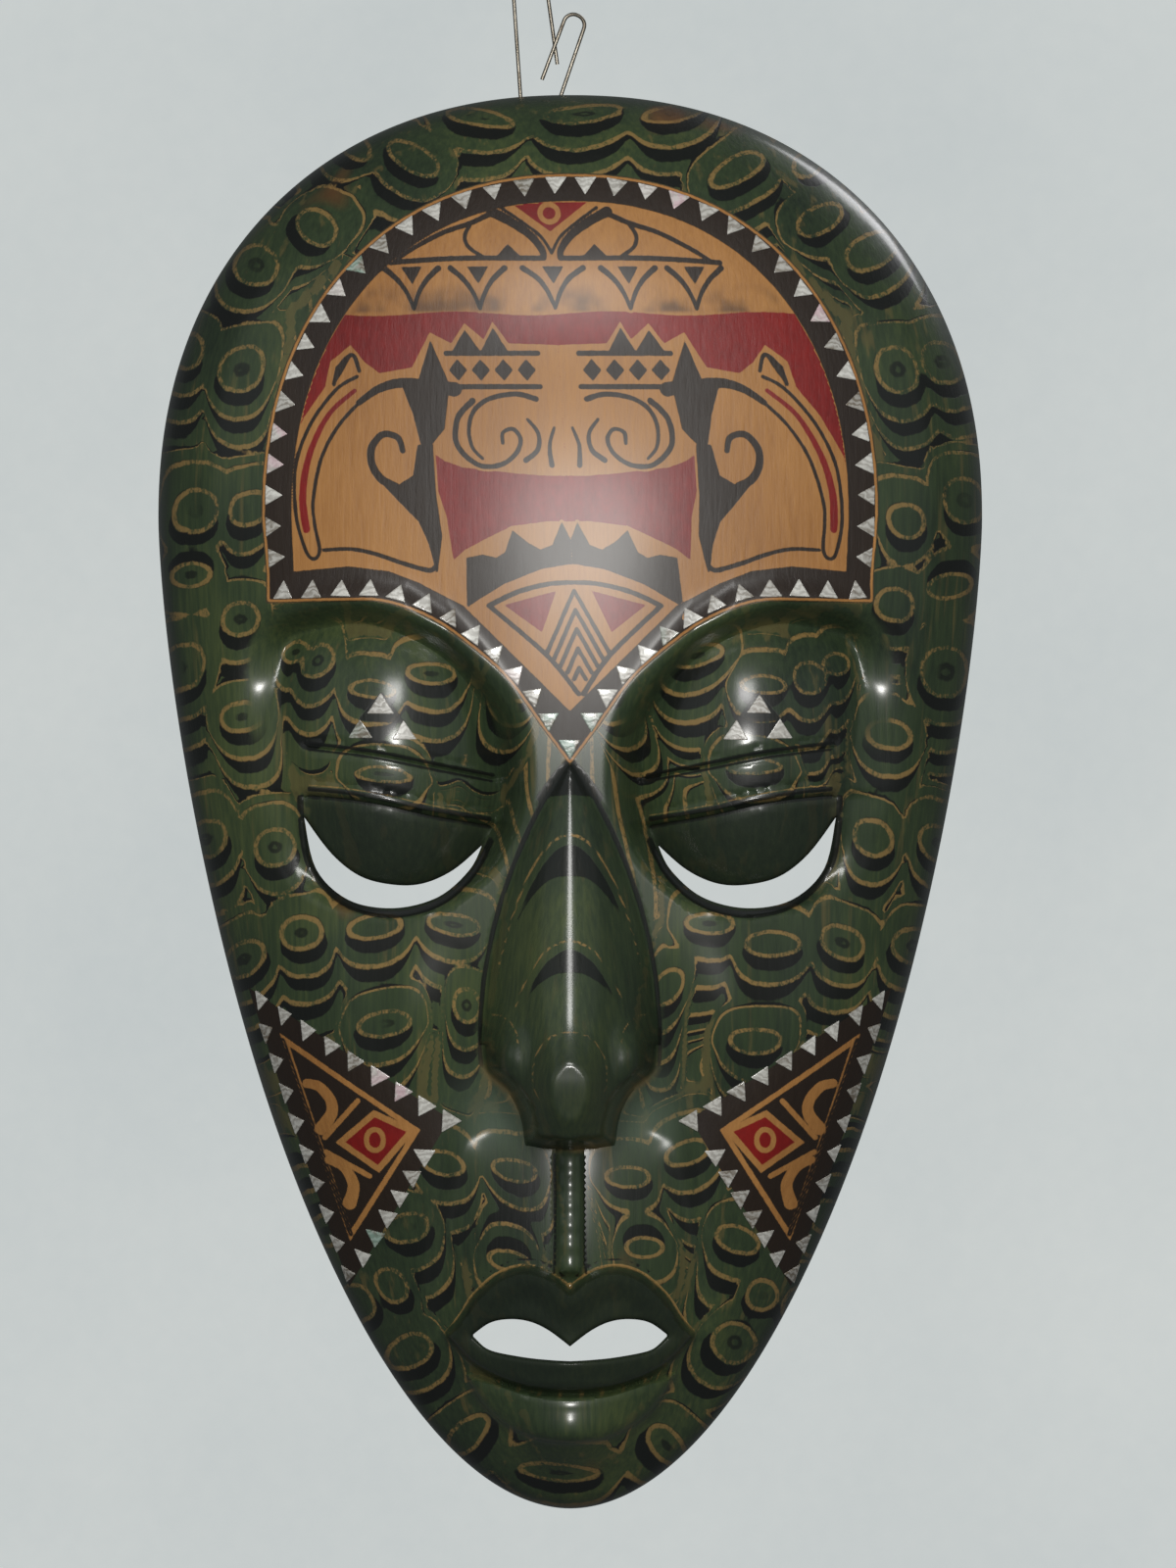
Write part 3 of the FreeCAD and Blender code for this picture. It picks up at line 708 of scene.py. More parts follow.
CHEEK = polygon([(28.2, 97.8), (81, 131.4), (54.8, 53.2)])


def grown(loop, by):
    """A corner-to-corner outline moved outwards."""
    loop = turned_left(loop)
    way_in = np.roll(loop, 1, 0) - loop
    way_out = loop - np.roll(loop, -1, 0)
    n = []
    for w in (way_in, way_out):
        w = w / np.hypot(*w.T)[:, None]
        n.append(np.column_stack((-w[:, 1], w[:, 0])))
    mid = n[0] + n[1]
    mid = mid / np.sum(mid * mid, 1)[:, None] * 2
    return loop + mid * by


def cheek_paint(x, z):
    """Fields of a cheek panel, worked out on the right side and mirrored."""
    a = np.abs(x)
    base = inside(a, z, CHEEK)
    tri = polygon([(71.4, 118.2), (36.6, 94.8), (54.2, 66.8)])
    field = inside(a, z, tri)
    tan = np.minimum(field, 1.3 - field)
    outer_side = np.minimum(distance(a, z, polygon([(70.6, 116.4), (54.0, 68.6)])), FAR)
    tan = np.minimum(tan, np.abs(outer_side - 0.3) - 0.28)
    quad = inside(a, z, polygon([(57.6, 91.4), (48.1, 99.6), (37.6, 94.8), (46.8, 84.0)]))
    tan = np.maximum(tan, np.minimum(quad, 1.5 - quad))
    bars = (((60.2, 92.6), (52, 101.8)), ((60, 89), (49.2, 83.2)))
    for bar in bars:
        tan = np.maximum(tan, stroke(a, z, polygon(bar), 1.3))
    for bean, wide, thin in (([(64.6, 105.9), (61.6, 105.2), (58.8, 102), (58.5, 98.6), (61.2, 94.8)], 2.2,
                              3.2),
                             ([(59.4, 87), (55.6, 85.2), (53.2, 81), (54.2, 76.4)], 1.8, 3.4)):
        tan = np.maximum(tan, stroke(a, z, through(bean), wide, thin))
    ring = np.abs(distance(a, z, ring_line(47.8, 92.2, 2.1, 2.6), closed=True, reach=4.0)) - 0.65
    red = np.minimum(quad - 1.5, ring)
    black = np.minimum(base, np.minimum(-tan, -quad))
    return {"black": black, "red": red, "smoke": np.zeros_like(a), "edge": base}


# ------------------------------------------------------------------ shading
class Tone:
    """A socket in a material, so that shading can be written as sums."""

    def __init__(self, tree, socket=None):
        self.tree = tree
        self.socket = socket

    def make(self, kind, settings=None, out=0, **sockets):
        """Adds a node: its type, its settings, then the values or links of its sockets."""
        node = self.tree.nodes.new(kind)
        for key, value in (settings or {}).items():
            if key == "stops":
                ramp = node.color_ramp
                while len(ramp.elements) < len(value):
                    ramp.elements.new(0.5)
                for stop, (at, colour) in zip(ramp.elements, value):
                    stop.position = at
                    stop.color = (*colour, 1)
            else:
                setattr(node, key, value)
        for key, value in sockets.items():
            slot = node.inputs[int(key[1:])] if key[1:].isdigit() else node.inputs[key.replace("_", " ")]
            if isinstance(value, Tone):
                self.tree.links.new(value.socket, slot)
            elif hasattr(value, "__len__") and len(value) == 3 and slot.type == "RGBA":
                slot.default_value = (*value, 1)
            else:
                slot.default_value = value
        return Tone(self.tree, node.outputs[out])

    def maths(self, operation, *values, clamp=False):
        named = {"i%d" % i: v for i, v in enumerate(values)}
        return self.make("ShaderNodeMath", {"operation": operation, "use_clamp": clamp}, **named)

    def __add__(self, other):
        return self.maths("ADD", self, other)

    __radd__ = __add__

    def __sub__(self, other):
        return self.maths("SUBTRACT", self, other)

    def __rsub__(self, other):
        return self.maths("SUBTRACT", other, self)

    def __mul__(self, other):
        return self.maths("MULTIPLY", self, other)

    __rmul__ = __mul__

    def __truediv__(self, other):
        return self.maths("DIVIDE", self, other)

    def field(self, name):
        return self.make("ShaderNodeAttribute", {"attribute_name": name}, out="Fac")

    def over(self, low, high):
        """0 below low, 1 above high, smooth between."""
        return self.make("ShaderNodeMapRange", {"interpolation_type": "SMOOTHSTEP"}, Value=self,
                         From_Min=low, From_Max=high)

    def blend(self, under, colour):
        """This colour over the one under it, where self is 1."""
        return self.make("ShaderNodeMix", {"data_type": "RGBA"}, out=2, i0=self, i6=under, i7=colour)

    def grain(self, scale, stretch=(1, 1, 1), detail=4.0, rough=0.55):
        where = self.make("ShaderNodeTexCoord", out="Object")
        if stretch != (1, 1, 1):
            where = self.make("ShaderNodeMapping", Vector=where, Scale=stretch)
        return self.make("ShaderNodeTexNoise", out="Fac", Vector=where, Scale=scale, Detail=detail,
                         Roughness=rough)


def srgb(r, g, b):
    """A colour as a painter's chart gives it, in the renderer's linear values."""
    return tuple(((c / 255 + 0.055) / 1.055) ** 2.4 if c > 10 else c / 255 / 12.92 for c in (r, g, b))


def new_material(name):
    material = bpy.data.materials.new(name)
    material.use_nodes = True
    tree = material.node_tree
    shader = tree.nodes["Principled BSDF"]
    return material, Tone(tree), shader


def finish_material(tree, shader, colour, roughness, height, distance, strength=1.0, **fixed):
    """Joins the worked-out colour, roughness and height to the surface."""
    links = tree.tree.links
    links.new(colour.socket, shader.inputs["Base Color"])
    links.new(roughness.socket, shader.inputs["Roughness"])
    bump = tree.make("ShaderNodeBump", out=0, Strength=strength, Distance=distance, Height=height)
    links.new(bump.socket, shader.inputs["Normal"])
    for key, value in fixed.items():
        shader.inputs[key.replace("_", " ")].default_value = value


def batik_material(paint):
    """Green batik-dyed wood under varnish, raw wood on the back."""
    material, t, shader = new_material("batik_wood")
    fibre = t.grain(900, (1, 1, 0.07), 5, 0.6)
    fine = t.grain(420, (1, 1, 0.35), 4, 0.6)
    cloud = t.grain(24, (1, 1, 0.6), 3)
    blotch = t.grain(70, (1, 1, 0.5), 4)
    speck = t.grain(1300, (1, 1, 0.6), 3, 0.7)
    slope = t.field("slope")
    crescent = t.field("crescent")
    plain = t.field("plain")
    patterned = (1 - plain) * (1 - slope.over(0.6, 1.1))
    ring = t.field("ring") + (fine - 0.5) * 0.12 + (blotch - 0.5) * 0.26
    phase = t.maths("FRACT", ring - 0.5)
    # in each band: a thin rubbed line, the dark crescent outside it, then green
    dark_width = 0.04 + crescent * 0.42
    start = 0.17
    dark = (phase - start).over(-0.02, 0.03) * (1 - (phase - start - dark_width).over(-0.03, 0.03))
    dark = dark * (crescent * 1.3 + blotch * 0.9).over(0.40, 0.58) * patterned
    pupil = (1 - ring.over(0.17, 0.24)) * (0.2 + ring.over(0.05, 0.10)
                                           * 0.8) * patterned * cloud.over(0.48, 0.56)
    dark = t.maths("MAXIMUM", dark, pupil * 0.8)
    line_reach = t.maths("MINIMUM", slope * (0.22 + blotch * 0.7), 0.10)
    gap = t.maths("ABSOLUTE", phase - (start - 0.07))
    tan_line = (1 - (gap / line_reach).over(0.6, 1.25)) * (speck * 0.7
                                                           + blotch * 0.6).over(0.50, 0.72) * patterned
    green = cloud.make("ShaderNodeValToRGB", {"stops": [(0.34, srgb(*paint["deep"])),
                                                        (0.52, srgb(*paint["green"])),
                                                        (0.72, srgb(*paint["light"]))]},
                       Fac=cloud * 0.5 + fibre * 0.3 + blotch * 0.2)
    streak = (t.grain(330, (1, 1, 0.045), 3) + slope * 0.12).over(0.60, 0.74) * 0.35 * (1 - plain * 0.6)
    colour = streak.blend(green, srgb(112, 96, 56))
    rust = t.grain(33, (1, 1, 0.5), 2).over(0.66, 0.74) * 0.5 * (1 - plain)
    colour = rust.blend(colour, srgb(112, 62, 30))
    colour = (dark * 0.97).blend(colour, srgb(*paint["black"]))
    colour = (tan_line * 0.66).blend(colour, srgb(*paint["line"]))
    rough_edge = (fine - 0.5) * 0.5
    worn_line = (t.field("tan") + rough_edge).over(-0.12,
                                                   0.12) * (blotch * 0.6 + speck * 0.5).over(0.42, 0.58)
    colour = (worn_line * 0.8).blend(colour, srgb(*paint["line"]))
    ink = (t.field("black") + rough_edge).over(-0.15, 0.15)
    colour = (ink * 0.92).blend(colour, srgb(*paint["black"]))
    # painted highlight beside the nose wings from the pale field
    colour = (t.field("pale") * 0.55).blend(colour, srgb(96, 110, 96))
    # painted shade: the dark field darkens the green where shade falls on the face, the openings and the
    # outline
    colour = (t.field("dark") * 0.75).blend(colour, srgb(20, 26, 21))
    colour = (t.field("worn") * blotch.over(0.4, 0.6) * 0.7).blend(colour, srgb(134, 112, 74))
    # the back is bare, with stain run over its edge
    raw = (t.field("raw") + (blotch - 0.5) * 0.35).over(0.45, 0.6)
    matt = t.field("matt")
    gouge = t.grain(105, (1, 1, 0.3), 2)
    scrape = t.grain(30, (1, 1, 0.35), 3)
    wood = t.make("ShaderNodeValToRGB", {"stops": [(0.3, srgb(138, 104, 66)), (0.55, srgb(176, 140, 94)),
                                                   (0.75, srgb(196, 164, 118))]},
                  Fac=t.grain(60, (1, 1, 0.06), 5, 0.6) * 0.45 + scrape * 0.3 + gouge * 0.25)
    # on the bare back the dark field is stain run in from the outline and the openings
    wood = ((t.field("dark") + (gouge - 0.5) * 0.5) * 0.8).blend(wood, srgb(74, 62, 40))
    colour = raw.blend(colour, wood)
    bare = t.maths("MAXIMUM", raw, matt)
    rough = 0.40 + fibre * 0.2 + bare * 0.36
    height = fibre * 0.6 + fine * 0.3 + raw * gouge * 9 - ink * 0.25 - dark * 0.2
    finish_material(t, shader, colour, rough, height, 0.00025, 0.8, Specular_IOR_Level=0.2,
                    Coat_Roughness=0.2)
    t.tree.links.new(((1 - bare) * 0.6).socket, shader.inputs["Coat Weight"])
    return material


def panel_material(name, paint):
    """Tan ground with black and red brush work, smooth with varnish over an open grain."""
    material, t, shader = new_material(name)
    fibre = t.grain(1000, (1, 1, 0.10), 5, 0.65)
    fine = t.grain(700, (1, 1, 0.5), 4, 0.6)
    cloud = t.grain(40, (1, 1, 0.4), 3)
    wander = (fine - 0.5) * 0.34
    ground = t.make("ShaderNodeValToRGB", {"stops": [(0.3, srgb(*paint["tan_deep"])),
                                                     (0.7, srgb(*paint["tan"]))]},
                    Fac=cloud * 0.55 + fibre * 0.45)
    smoke = t.field("smoke") * t.grain(85, (1, 1, 1), 2).over(0.38, 0.62)
    colour = (smoke * 0.75).blend(ground, srgb(62, 44, 34))
    scarlet = t.make("ShaderNodeValToRGB", {"stops": [(0.3, srgb(*paint["red_deep"])),
                                                      (0.65, srgb(*paint["red"]))]},
                                                      Fac=cloud * 0.6 + fine * 0.4)
    red = (t.field("red") + wander).over(-0.14, 0.14)
    colour = red.blend(colour, scarlet)
    black = (t.field("black") + wander).over(-0.14, 0.14)
    colour = (black * 0.96).blend(colour, srgb(*paint["ink"]))
    rim = (t.field("edge") + wander + 0.6).over(-0.15, 0.15)
    colour = rim.blend(srgb(58, 52, 34), colour)
    rough = 0.36 + fibre * 0.2 + black * 0.03
    height = fibre * 0.7 + fine * 0.25 - black * 0.12
    finish_material(t, shader, colour, rough, height, 0.00022, 0.75, Specular_IOR_Level=0.3,
                    Coat_Weight=0.16, Coat_Roughness=0.22)
    return material


def shell_material():
    """Mother-of-pearl chips: layered white and grey, a few with pink or sea green in them."""
    material, t, shader = new_material("pearl_shell")
    tint = t.field("tint")
    layers = t.make("ShaderNodeTexWave", {"wave_type": "RINGS", "rings_direction": "SPHERICAL"}, out="Fac",
                    Vector=t.make("ShaderNodeTexCoord", out="Object"), Scale=210, Distortion=9, Detail=3,
                    Detail_Scale=2.2)
    veil = t.grain(260, (1, 1, 1), 4, 0.6)
    base = t.make("ShaderNodeValToRGB", {"stops": [(0.25, srgb(112, 104, 92)), (0.45, srgb(172, 170, 164)),
                                                   (0.75, srgb(222, 222, 216))]},
                  Fac=veil * 0.5 + layers * 0.2 + tint * 0.3)
    pink = tint.over(0.93, 0.96) * veil.over(0.35, 0.6)
    sea = (1 - tint.over(0.05, 0.08)) * veil.over(0.35, 0.6)
    colour = (pink * 0.45).blend(base, srgb(198, 130, 158))
    colour = (sea * 0.5).blend(colour, srgb(120, 176, 160))
    edge = t.field("edge")
    colour = (edge * 0.35).blend(colour, srgb(74, 62, 46))
    rough = 0.22 + veil * 0.2
    finish_material(t, shader, colour, rough, layers * 0.5 + veil * 0.5, 0.00012, 0.5, Coat_Weight=0.5,
                    Coat_Roughness=0.12, Specular_IOR_Level=0.6)
    return material


def steel_material(name, light, dark, roughness):
    """Drawn or turned steel, dulled, with spots of rust-brown tarnish."""
    material, t, shader = new_material(name)
    cloud = t.grain(140, (1, 1, 1), 4)
    scratch = t.grain(1500, (1, 1, 0.2), 3)
    stain = t.grain(320, (1, 1, 1), 5, 0.65).over(0.56, 0.72)
    colour = t.make("ShaderNodeValToRGB", {"stops": [(0.3, srgb(*dark)), (0.7, srgb(*light))]},
                    Fac=cloud * 0.7 + scratch * 0.3)
    colour = (stain * 0.55).blend(colour, srgb(94, 72, 50))
    metal = 1 - stain * 0.4
    t.tree.links.new(metal.socket, shader.inputs["Metallic"])
    finish_material(t, shader, colour, roughness + scratch * 0.15 + stain * 0.25,
                    scratch * 0.4 - stain * 0.5, 0.00008, 0.5)
    return material


def backdrop_material():
    """Pale matt wall paint with a faint mottle."""
    material, t, shader = new_material("pale_backdrop")
    cloud = t.grain(3, (1, 1, 1), 3)
    fine = t.grain(90, (1, 1, 1), 4)
    colour = t.make("ShaderNodeValToRGB", {"stops": [(0.3, srgb(206, 212, 212)),
                                                     (0.7, srgb(218, 222, 220))]},
                                                     Fac=cloud * 0.8 + fine * 0.2)
    finish_material(t, shader, colour, 0.7 + fine * 0.1, fine * 1.0, 0.0005, 0.3, Emission_Strength=0.73)
    t.tree.links.new(colour.socket, shader.inputs["Emission Color"])
    return material


def put_material(piece, material):
    piece.data.materials.clear()
    piece.data.materials.append(material)


# ------------------------------------------------------------------ sizes and colours
def length_property(name, text, millimetres):
    return FloatProperty(name=name, description=text, default=millimetres * MM, min=0.0, unit="LENGTH",
                         precision=5)


def colour_property(name, text, rgb):
    return FloatVectorProperty(name=name, description=text, default=tuple(c / 255 for c in rgb),
                               subtype="COLOR_GAMMA",
                               size=3, min=0.0, max=1.0)


class MaskCarving(PropertyGroup):
    pitch: length_property("Face pitch", "Spacing of the mesh over the face", 0.9)
    plain_pitch: length_property("Plain pitch", "Spacing of the mesh over the plain parts", 1.5)
    back_pitch: length_property("Back pitch", "Spacing of the mesh over the hollow back", 2.6)
    paint_lift: length_property("Paint lift", "How far a painted panel stands over the wood", 0.07)
    paint_pitch: length_property("Paint pitch", "Spacing of the mesh of the forehead painting", 0.44)
    cheek_pitch: length_property("Cheek pitch", "Spacing of the mesh of the cheek panels", 0.36)


class MaskPaint(PropertyGroup):
    green: colour_property("Green", "Middle green of the wood", (47, 60, 38))
    light: colour_property("Light green", "Where the stain is thin", (76, 86, 48))
    deep: colour_property("Deep green", "Where the stain is thick", (25, 36, 27))
    black: colour_property("Black", "Dark crescents and lines on the green", (13, 15, 14))
    line: colour_property("Rubbed line", "Thin tan lines between the bands", (146, 116, 68))
    tan: colour_property("Tan", "Ground of the painted panels", (170, 122, 68))
    tan_deep: colour_property("Deep tan", "Ground of the painted panels in its grain", (136, 92, 48))
    red: colour_property("Red", "Red fields", (126, 23, 20))
    red_deep: colour_property("Deep red", "Red fields in their shade", (94, 16, 16))
    ink: colour_property("Ink", "Brush work on the panels", (16, 16, 17))


class MaskShells(PropertyGroup):
    proud: length_property("Proud", "How far the chips stand over the wood", 0.25)
    bevel: length_property("Bevel", "Worn edge of a chip", 0.22)
    seed: IntProperty(name="Seed", description="Picks the chips' small differences", default=7, min=0)


class MaskStage(PropertyGroup):
    camera_distance: FloatProperty(name="Camera distance", description="Camera to the wall plane",
                                   default=2.6, unit="LENGTH")
    view_height: FloatProperty(name="View height", description="Height of the view at the wall plane",
                               default=0.389, unit="LENGTH")
    flash: FloatProperty(name="Flash", description="Power of the lamp beside the camera", default=4.8,
                         subtype="POWER", unit="POWER")
    room: FloatProperty(name="Room", description="Radius of the pale room", default=3.6, unit="LENGTH")
    top: FloatProperty(name="Top", description="Power of the lamp over the camera", default=4.4,
                       subtype="POWER", unit="POWER")
    fill: FloatProperty(name="Fill", description="Power of each soft side lamp", default=1.3,
                        subtype="POWER", unit="POWER")


def paint_chart():
    paint = bpy.context.scene.mask_paint
    names = ("green", "light", "deep", "black", "line", "tan", "tan_deep", "red", "red_deep", "ink")
    return {name: tuple(c * 255 for c in getattr(paint, name)) for name in names}


# ------------------------------------------------------------------ the pieces
class MASK_OT_carve_body(Operator):
    """Carves the wooden body: face, rim, openings, hollow back and hanger recess"""
    bl_idname = "mask.carve_body"
    bl_label = "Carve the body"

    def execute(self, context):
        sizes = context.scene.mask_carving
        fine, plain, rear = (v / MM for v in (sizes.pitch, sizes.plain_pitch, sizes.back_pitch))
        rim = rim_loop(1.3)
        slits = [turned_left(resample(SLIT * (side, 1), 0.7)) for side in (1, -1)]
        mouth = turned_left(resample(MOUTH, 0.7))
        holes = slits + [mouth]
        edge = np.vstack([rim] + holes)
        counts = [len(rim)] + [len(h) for h in holes]

        # front: rows of points that follow every edge and crease, then an even net
        rows = [edge]
        for s in (0.12, 0.45, 1.0, 1.7, 2.4, 3.2):
            ring = rim + sideways(rim) * s
            rows.append(clear_of(ring, body_margin, 0.6 * s))
        for hole in holes:
            for s in (0.1, 0.35, 0.7, 1.15, 1.8):
                ring = hole - sideways(hole) * s
                rows.append(clear_of(ring, body_margin, 0.7 * s))
        creases = []
        for crease, offsets in ((LID_FOLD, (-0.6, 0, 0.5, 1.0, 1.5, 2.1)),
                                (LID_EDGE, (-0.9, -0.3, 0.4, 1.1, 1.7, 2.4)),
                                (SLIT_BEAD, (-1.4, -0.7, 0, 0.7, 1.4))):
            for side in (1, -1):
                track = resample(crease * (side, 1), 0.75, closed=False)
                for off in offsets:
                    creases.append(track + sideways(track, closed=False) * (-off * side))
        for loop, offsets in ((NOSE, (-0.3, 0.5, 1.4, 2.4)), (LIPS, (-0.8, 0, 0.7, 1.3)),
                              (CHIN, (-0.6, 0.2, 1.0)),
                              (EYE_EDGE, (-0.4, 0.3)), (EYE_EDGE * (-1, 1), (-0.4, 0.3))):
            track = turned_left(resample(loop, 0.8))
            for off in offsets:
                creases.append(track + sideways(track) * off)
        creases = clear_of(np.vstack(creases), body_margin, 2.2)
        rows.append(creases)
        busy = net((-73, 28), (73, 225), fine)
        calm = net((-103, -1), (103, 351), plain)
        inner = (np.abs(calm[:, 0]) < 72.6) & (calm[:, 1] > 28.4) & (calm[:, 1] < 224.6)
        field = np.vstack((busy, calm[~inner]))
        field = clear_of(field, body_margin, 0.0)
        roomy = (outline(np.abs(field[:, 0]), field[:, 1]) > 3.7) & (openings(field[:, 0],
                                                                              field[:, 1]) > 2.3)
        field = field[roomy]
        cell = 0.55
        taken = set(map(tuple, np.round(creases / cell).astype(int)))
        around = [(i, j) for i in (-1, 0, 1) for j in (-1, 0, 1)]
        free = [not any((i + u, j + v) in taken for u, v in around) for i,
                j in np.round(field / cell).astype(int)]
        rows.append(field[np.array(free)])
        front = np.vstack(rows)
        front_faces = triangles(front, counts, lambda x, z: body_margin(x, z) > -0.02)

        # back: the same edges, the flat rim, the edge of the hollow and a wider net
        flared = []
        for hole in holes:
            out = -sideways(hole)
            spread = sum(np.roll(out, k, 0) for k in range(-5, 6))
            spread = spread / np.hypot(*spread.T)[:, None]
            flared.append(hole + spread * (2.0 if hole is not mouth else 1.3))
        rows = [np.vstack([rim] + flared)]
        for s in (0.8, 2.2):
            rows.append(clear_of(rim + sideways(rim) * s, body_margin, 0.6 * s))
        for share in (0.925, 0.9195, 0.912, 0.9, 0.88):
            rows.append(rim_loop(1.6 if share > 0.9 else 2.2, share))
        for hole in flared:
            ring = hole - sideways(hole) * 1.5
            rows.append(clear_of(ring, lambda x, z: -inside(x, z, hole), 1.1))
        cut = resample(RECESS, 0.9, closed=False)
        for off in (-0.3, 0.3):
            rows.append(clear_of(cut + sideways(cut, closed=False) * off, lambda x,
                                 z: outline(np.abs(x), z), 0.9))
        field = net((-103, -1), (103, 351), rear)
        roomy = (rho(np.abs(field[:, 0]), field[:, 1]) < 0.868) & (openings(field[:, 0], field[:, 1]) > 5.4)
        rows.append(field[roomy])
        rear_points = np.vstack(rows)

        def in_wood(x, z):
            kept = outline(np.abs(x), z) > -0.02
            for hole in flared:
                kept &= inside(x, z, hole) < 0
            return kept
        rear_faces = triangles(rear_points, counts, in_wood)

        # walls between the two, round the rim and through each opening
        n = len(edge)
        y_front = -relief(front[:, 0], front[:, 1])
        y_rear = -back(rear_points[:, 0], rear_points[:, 1])
        lip = 0.8
        at_rim = np.arange(n) < counts[0]
        y_rear[:n] = np.where(at_rim, np.minimum(y_rear[:n], -lip), y_rear[:n])
        wall_rows = 3
        walls = []
        wall_y = []
        for i in range(wall_rows):
            t = (i + 1) / (wall_rows + 1)
            walls.append(mix(edge, rear_points[:n], t))
            wall_y.append(mix(y_front[:n], y_rear[:n], t))
        every = np.vstack([front, rear_points] + walls)
        depth = np.concatenate([y_front, y_rear] + wall_y)
        offset = len(front)
        faces = [f for f in front_faces] + [f[::-1] + offset for f in rear_faces]
        base = len(front) + len(rear_points)
        starts = [0] + [base + i * n for i in range(wall_rows)] + [offset]
        first = 0
        for count in counts:
            for i in range(count):
                a, b = first + i, first + (i + 1) % count
                for upper, lower in zip(starts[:-1], starts[1:]):
                    faces.append((upper + a, upper + b, lower + b, lower + a))
            first += count

        x, z = every[:, 0], every[:, 1]
        ring, crescent, slope = batik(x, z)
        fields = green_paint(x, z)
        fields.update(ring=ring, crescent=crescent, slope=slope)
        is_rear = np.zeros(len(every))
        is_rear[offset:base] = 1.0
        is_rear[offset:offset + n] = 0.45
        is_rear[base + (wall_rows - 1) * n:] = 0.25
        fields["raw"] = is_rear
        is_back = is_rear > 0.5
        back_x, back_z = every[is_back, 0], every[is_back, 1]
        # on the back the dark field is stain near the outline and the openings
        fields["dark"][is_back] = np.maximum(smooth(8, 0, outline(np.abs(back_x), back_z)),
                                             smooth(5, 0.5, openings(back_x, back_z)))
        fields["matt"][base:] = np.tile(np.where(at_rim, 0.0, 1.0), wall_rows)
        # painted shade on the walls: darker round the rim, darkest through the openings
        fields["dark"][base:] = np.tile(np.where(at_rim, 0.7, 1.0), wall_rows)
        body = make_mesh("carved_body", place(x, depth, z), faces, fields)
        tidy_faces(body, math.radians(50))
        put_material(body, batik_material(paint_chart()))
        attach(body, "mask")
        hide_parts("mask_body")
        return {"FINISHED"}


def painted_panel(name, loop, pitch, paint_fields, material, lift):
    """A coat of paint over the wood inside a closed outline, with its edge let into the wood."""
    edge = turned_left(resample(loop, pitch * 1.6))
    low, high = loop.min(0), loop.max(0)
    rows = [edge, edge + sideways(edge) * pitch * 0.9]
    field = net(low, high, pitch)
    rows.append(field[inside(field[:, 0], field[:, 1], edge) > pitch * 1.5])
    top = np.vstack(rows)
    keep = lambda x, z: inside(x, z, edge) > 0
    top_faces = triangles(top, [len(edge)], keep)
    field = net(low, high, 7.0)
    under = np.vstack((edge, field[inside(field[:, 0], field[:, 1], edge) > 4.0]))
    under_faces = triangles(under, [len(edge)], keep)
    every = np.vstack((top, under))
    sunk = np.concatenate((np.full(len(top), lift), np.full(len(under), -0.8)))
    depth = -relief(every[:, 0], every[:, 1]) - sunk
    offset = len(top)
    n = len(edge)
    faces = [f for f in top_faces] + [f[::-1] + offset for f in under_faces]
    faces += [(i, (i + 1) % n, offset + (i + 1) % n, offset + i) for i in range(n)]
    piece = make_mesh(name, place(every[:, 0], depth, every[:, 1]), faces,
                      paint_fields(every[:, 0], every[:, 1]))
    tidy_faces(piece, math.radians(60))
    put_material(piece, material)
    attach(piece, "mask")
    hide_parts("mask_body")
    return piece


class MASK_OT_paint_forehead(Operator):
    """Lays the painted panel on the forehead"""
    bl_idname = "mask.paint_forehead"
    bl_label = "Paint the forehead"

    def execute(self, context):
        sizes = context.scene.mask_carving
        painted_panel("forehead_painting", panel_loop(0.9), sizes.paint_pitch / MM, forehead_paint,
                      panel_material("forehead_paint", paint_chart()), sizes.paint_lift / MM)
        return {"FINISHED"}


class MASK_OT_paint_cheeks(Operator):
    """Lays a painted triangle on each cheek"""
    bl_idname = "mask.paint_cheeks"
    bl_label = "Paint the cheeks"

    def execute(self, context):
        sizes = context.scene.mask_carving
        material = panel_material("cheek_paint", paint_chart())
        for side, name in ((-1, "left"), (1, "right")):
            loop = grown(CHEEK, -0.9)
            loop = loop * (side, 1)
            painted_panel("cheek_painting_" + name, loop, sizes.cheek_pitch / MM, cheek_paint, material,
                          sizes.paint_lift / MM)
        return {"FINISHED"}


def chip_corners(node):
    """The three outer corners and the outward direction of every chip in a CAD node."""
    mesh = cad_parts[node].data
    co = np.array([v.co for v in mesh.vertices])
    key = {}
    index = [key.setdefault(tuple(np.round(c * 1e6).astype(int)), len(key)) for c in co]
    points = np.zeros((len(key), 3))
    points[index] = co
    group = list(range(len(key)))

    def find(i):
        while group[i] != i:
            i = group[i]
        return i

    for poly in mesh.polygons:
        ids = [find(index[v]) for v in poly.vertices]
        for other in ids[1:]:
            group[find(other)] = find(ids[0])
    chips = {}
    for i in range(len(key)):
        chips.setdefault(find(i), []).append(points[i])
    for corners in chips.values():
        corners = np.array(corners)
        pairs = [(np.linalg.norm(corners[i] - corners[j]), i, j) for i in range(6) for j in range(i)]
        gap, i, j = min(pairs)
        out = (corners[i] - corners[j]) / gap
        out = out if out[1] < 0 else -out
        height = corners @ out
        yield corners[np.argsort(height)[3:]], out


def cut_chip(bevel):
    """One chip of shell: a three-sided plate with its upper edges worn round."""
    bpy.ops.object.select_all(action="DESELECT")
    bpy.ops.mesh.primitive_cylinder_add(vertices=3, radius=1.0, depth=1.0, location=(0, 0, 0))
    chip = bpy.context.object
    bpy.ops.object.mode_set(mode="EDIT")
    mesh = bmesh.from_edit_mesh(chip.data)
    for e in mesh.edges:
        e.select = all(v.co.z > 0 for v in e.verts) or abs(e.verts[0].co.z - e.verts[1].co.z) > 0.5
    bmesh.update_edit_mesh(chip.data)
    bpy.ops.mesh.bevel(offset=bevel, segments=2, affect="EDGES", clamp_overlap=True)
    bpy.ops.object.mode_set(mode="OBJECT")
    return chip


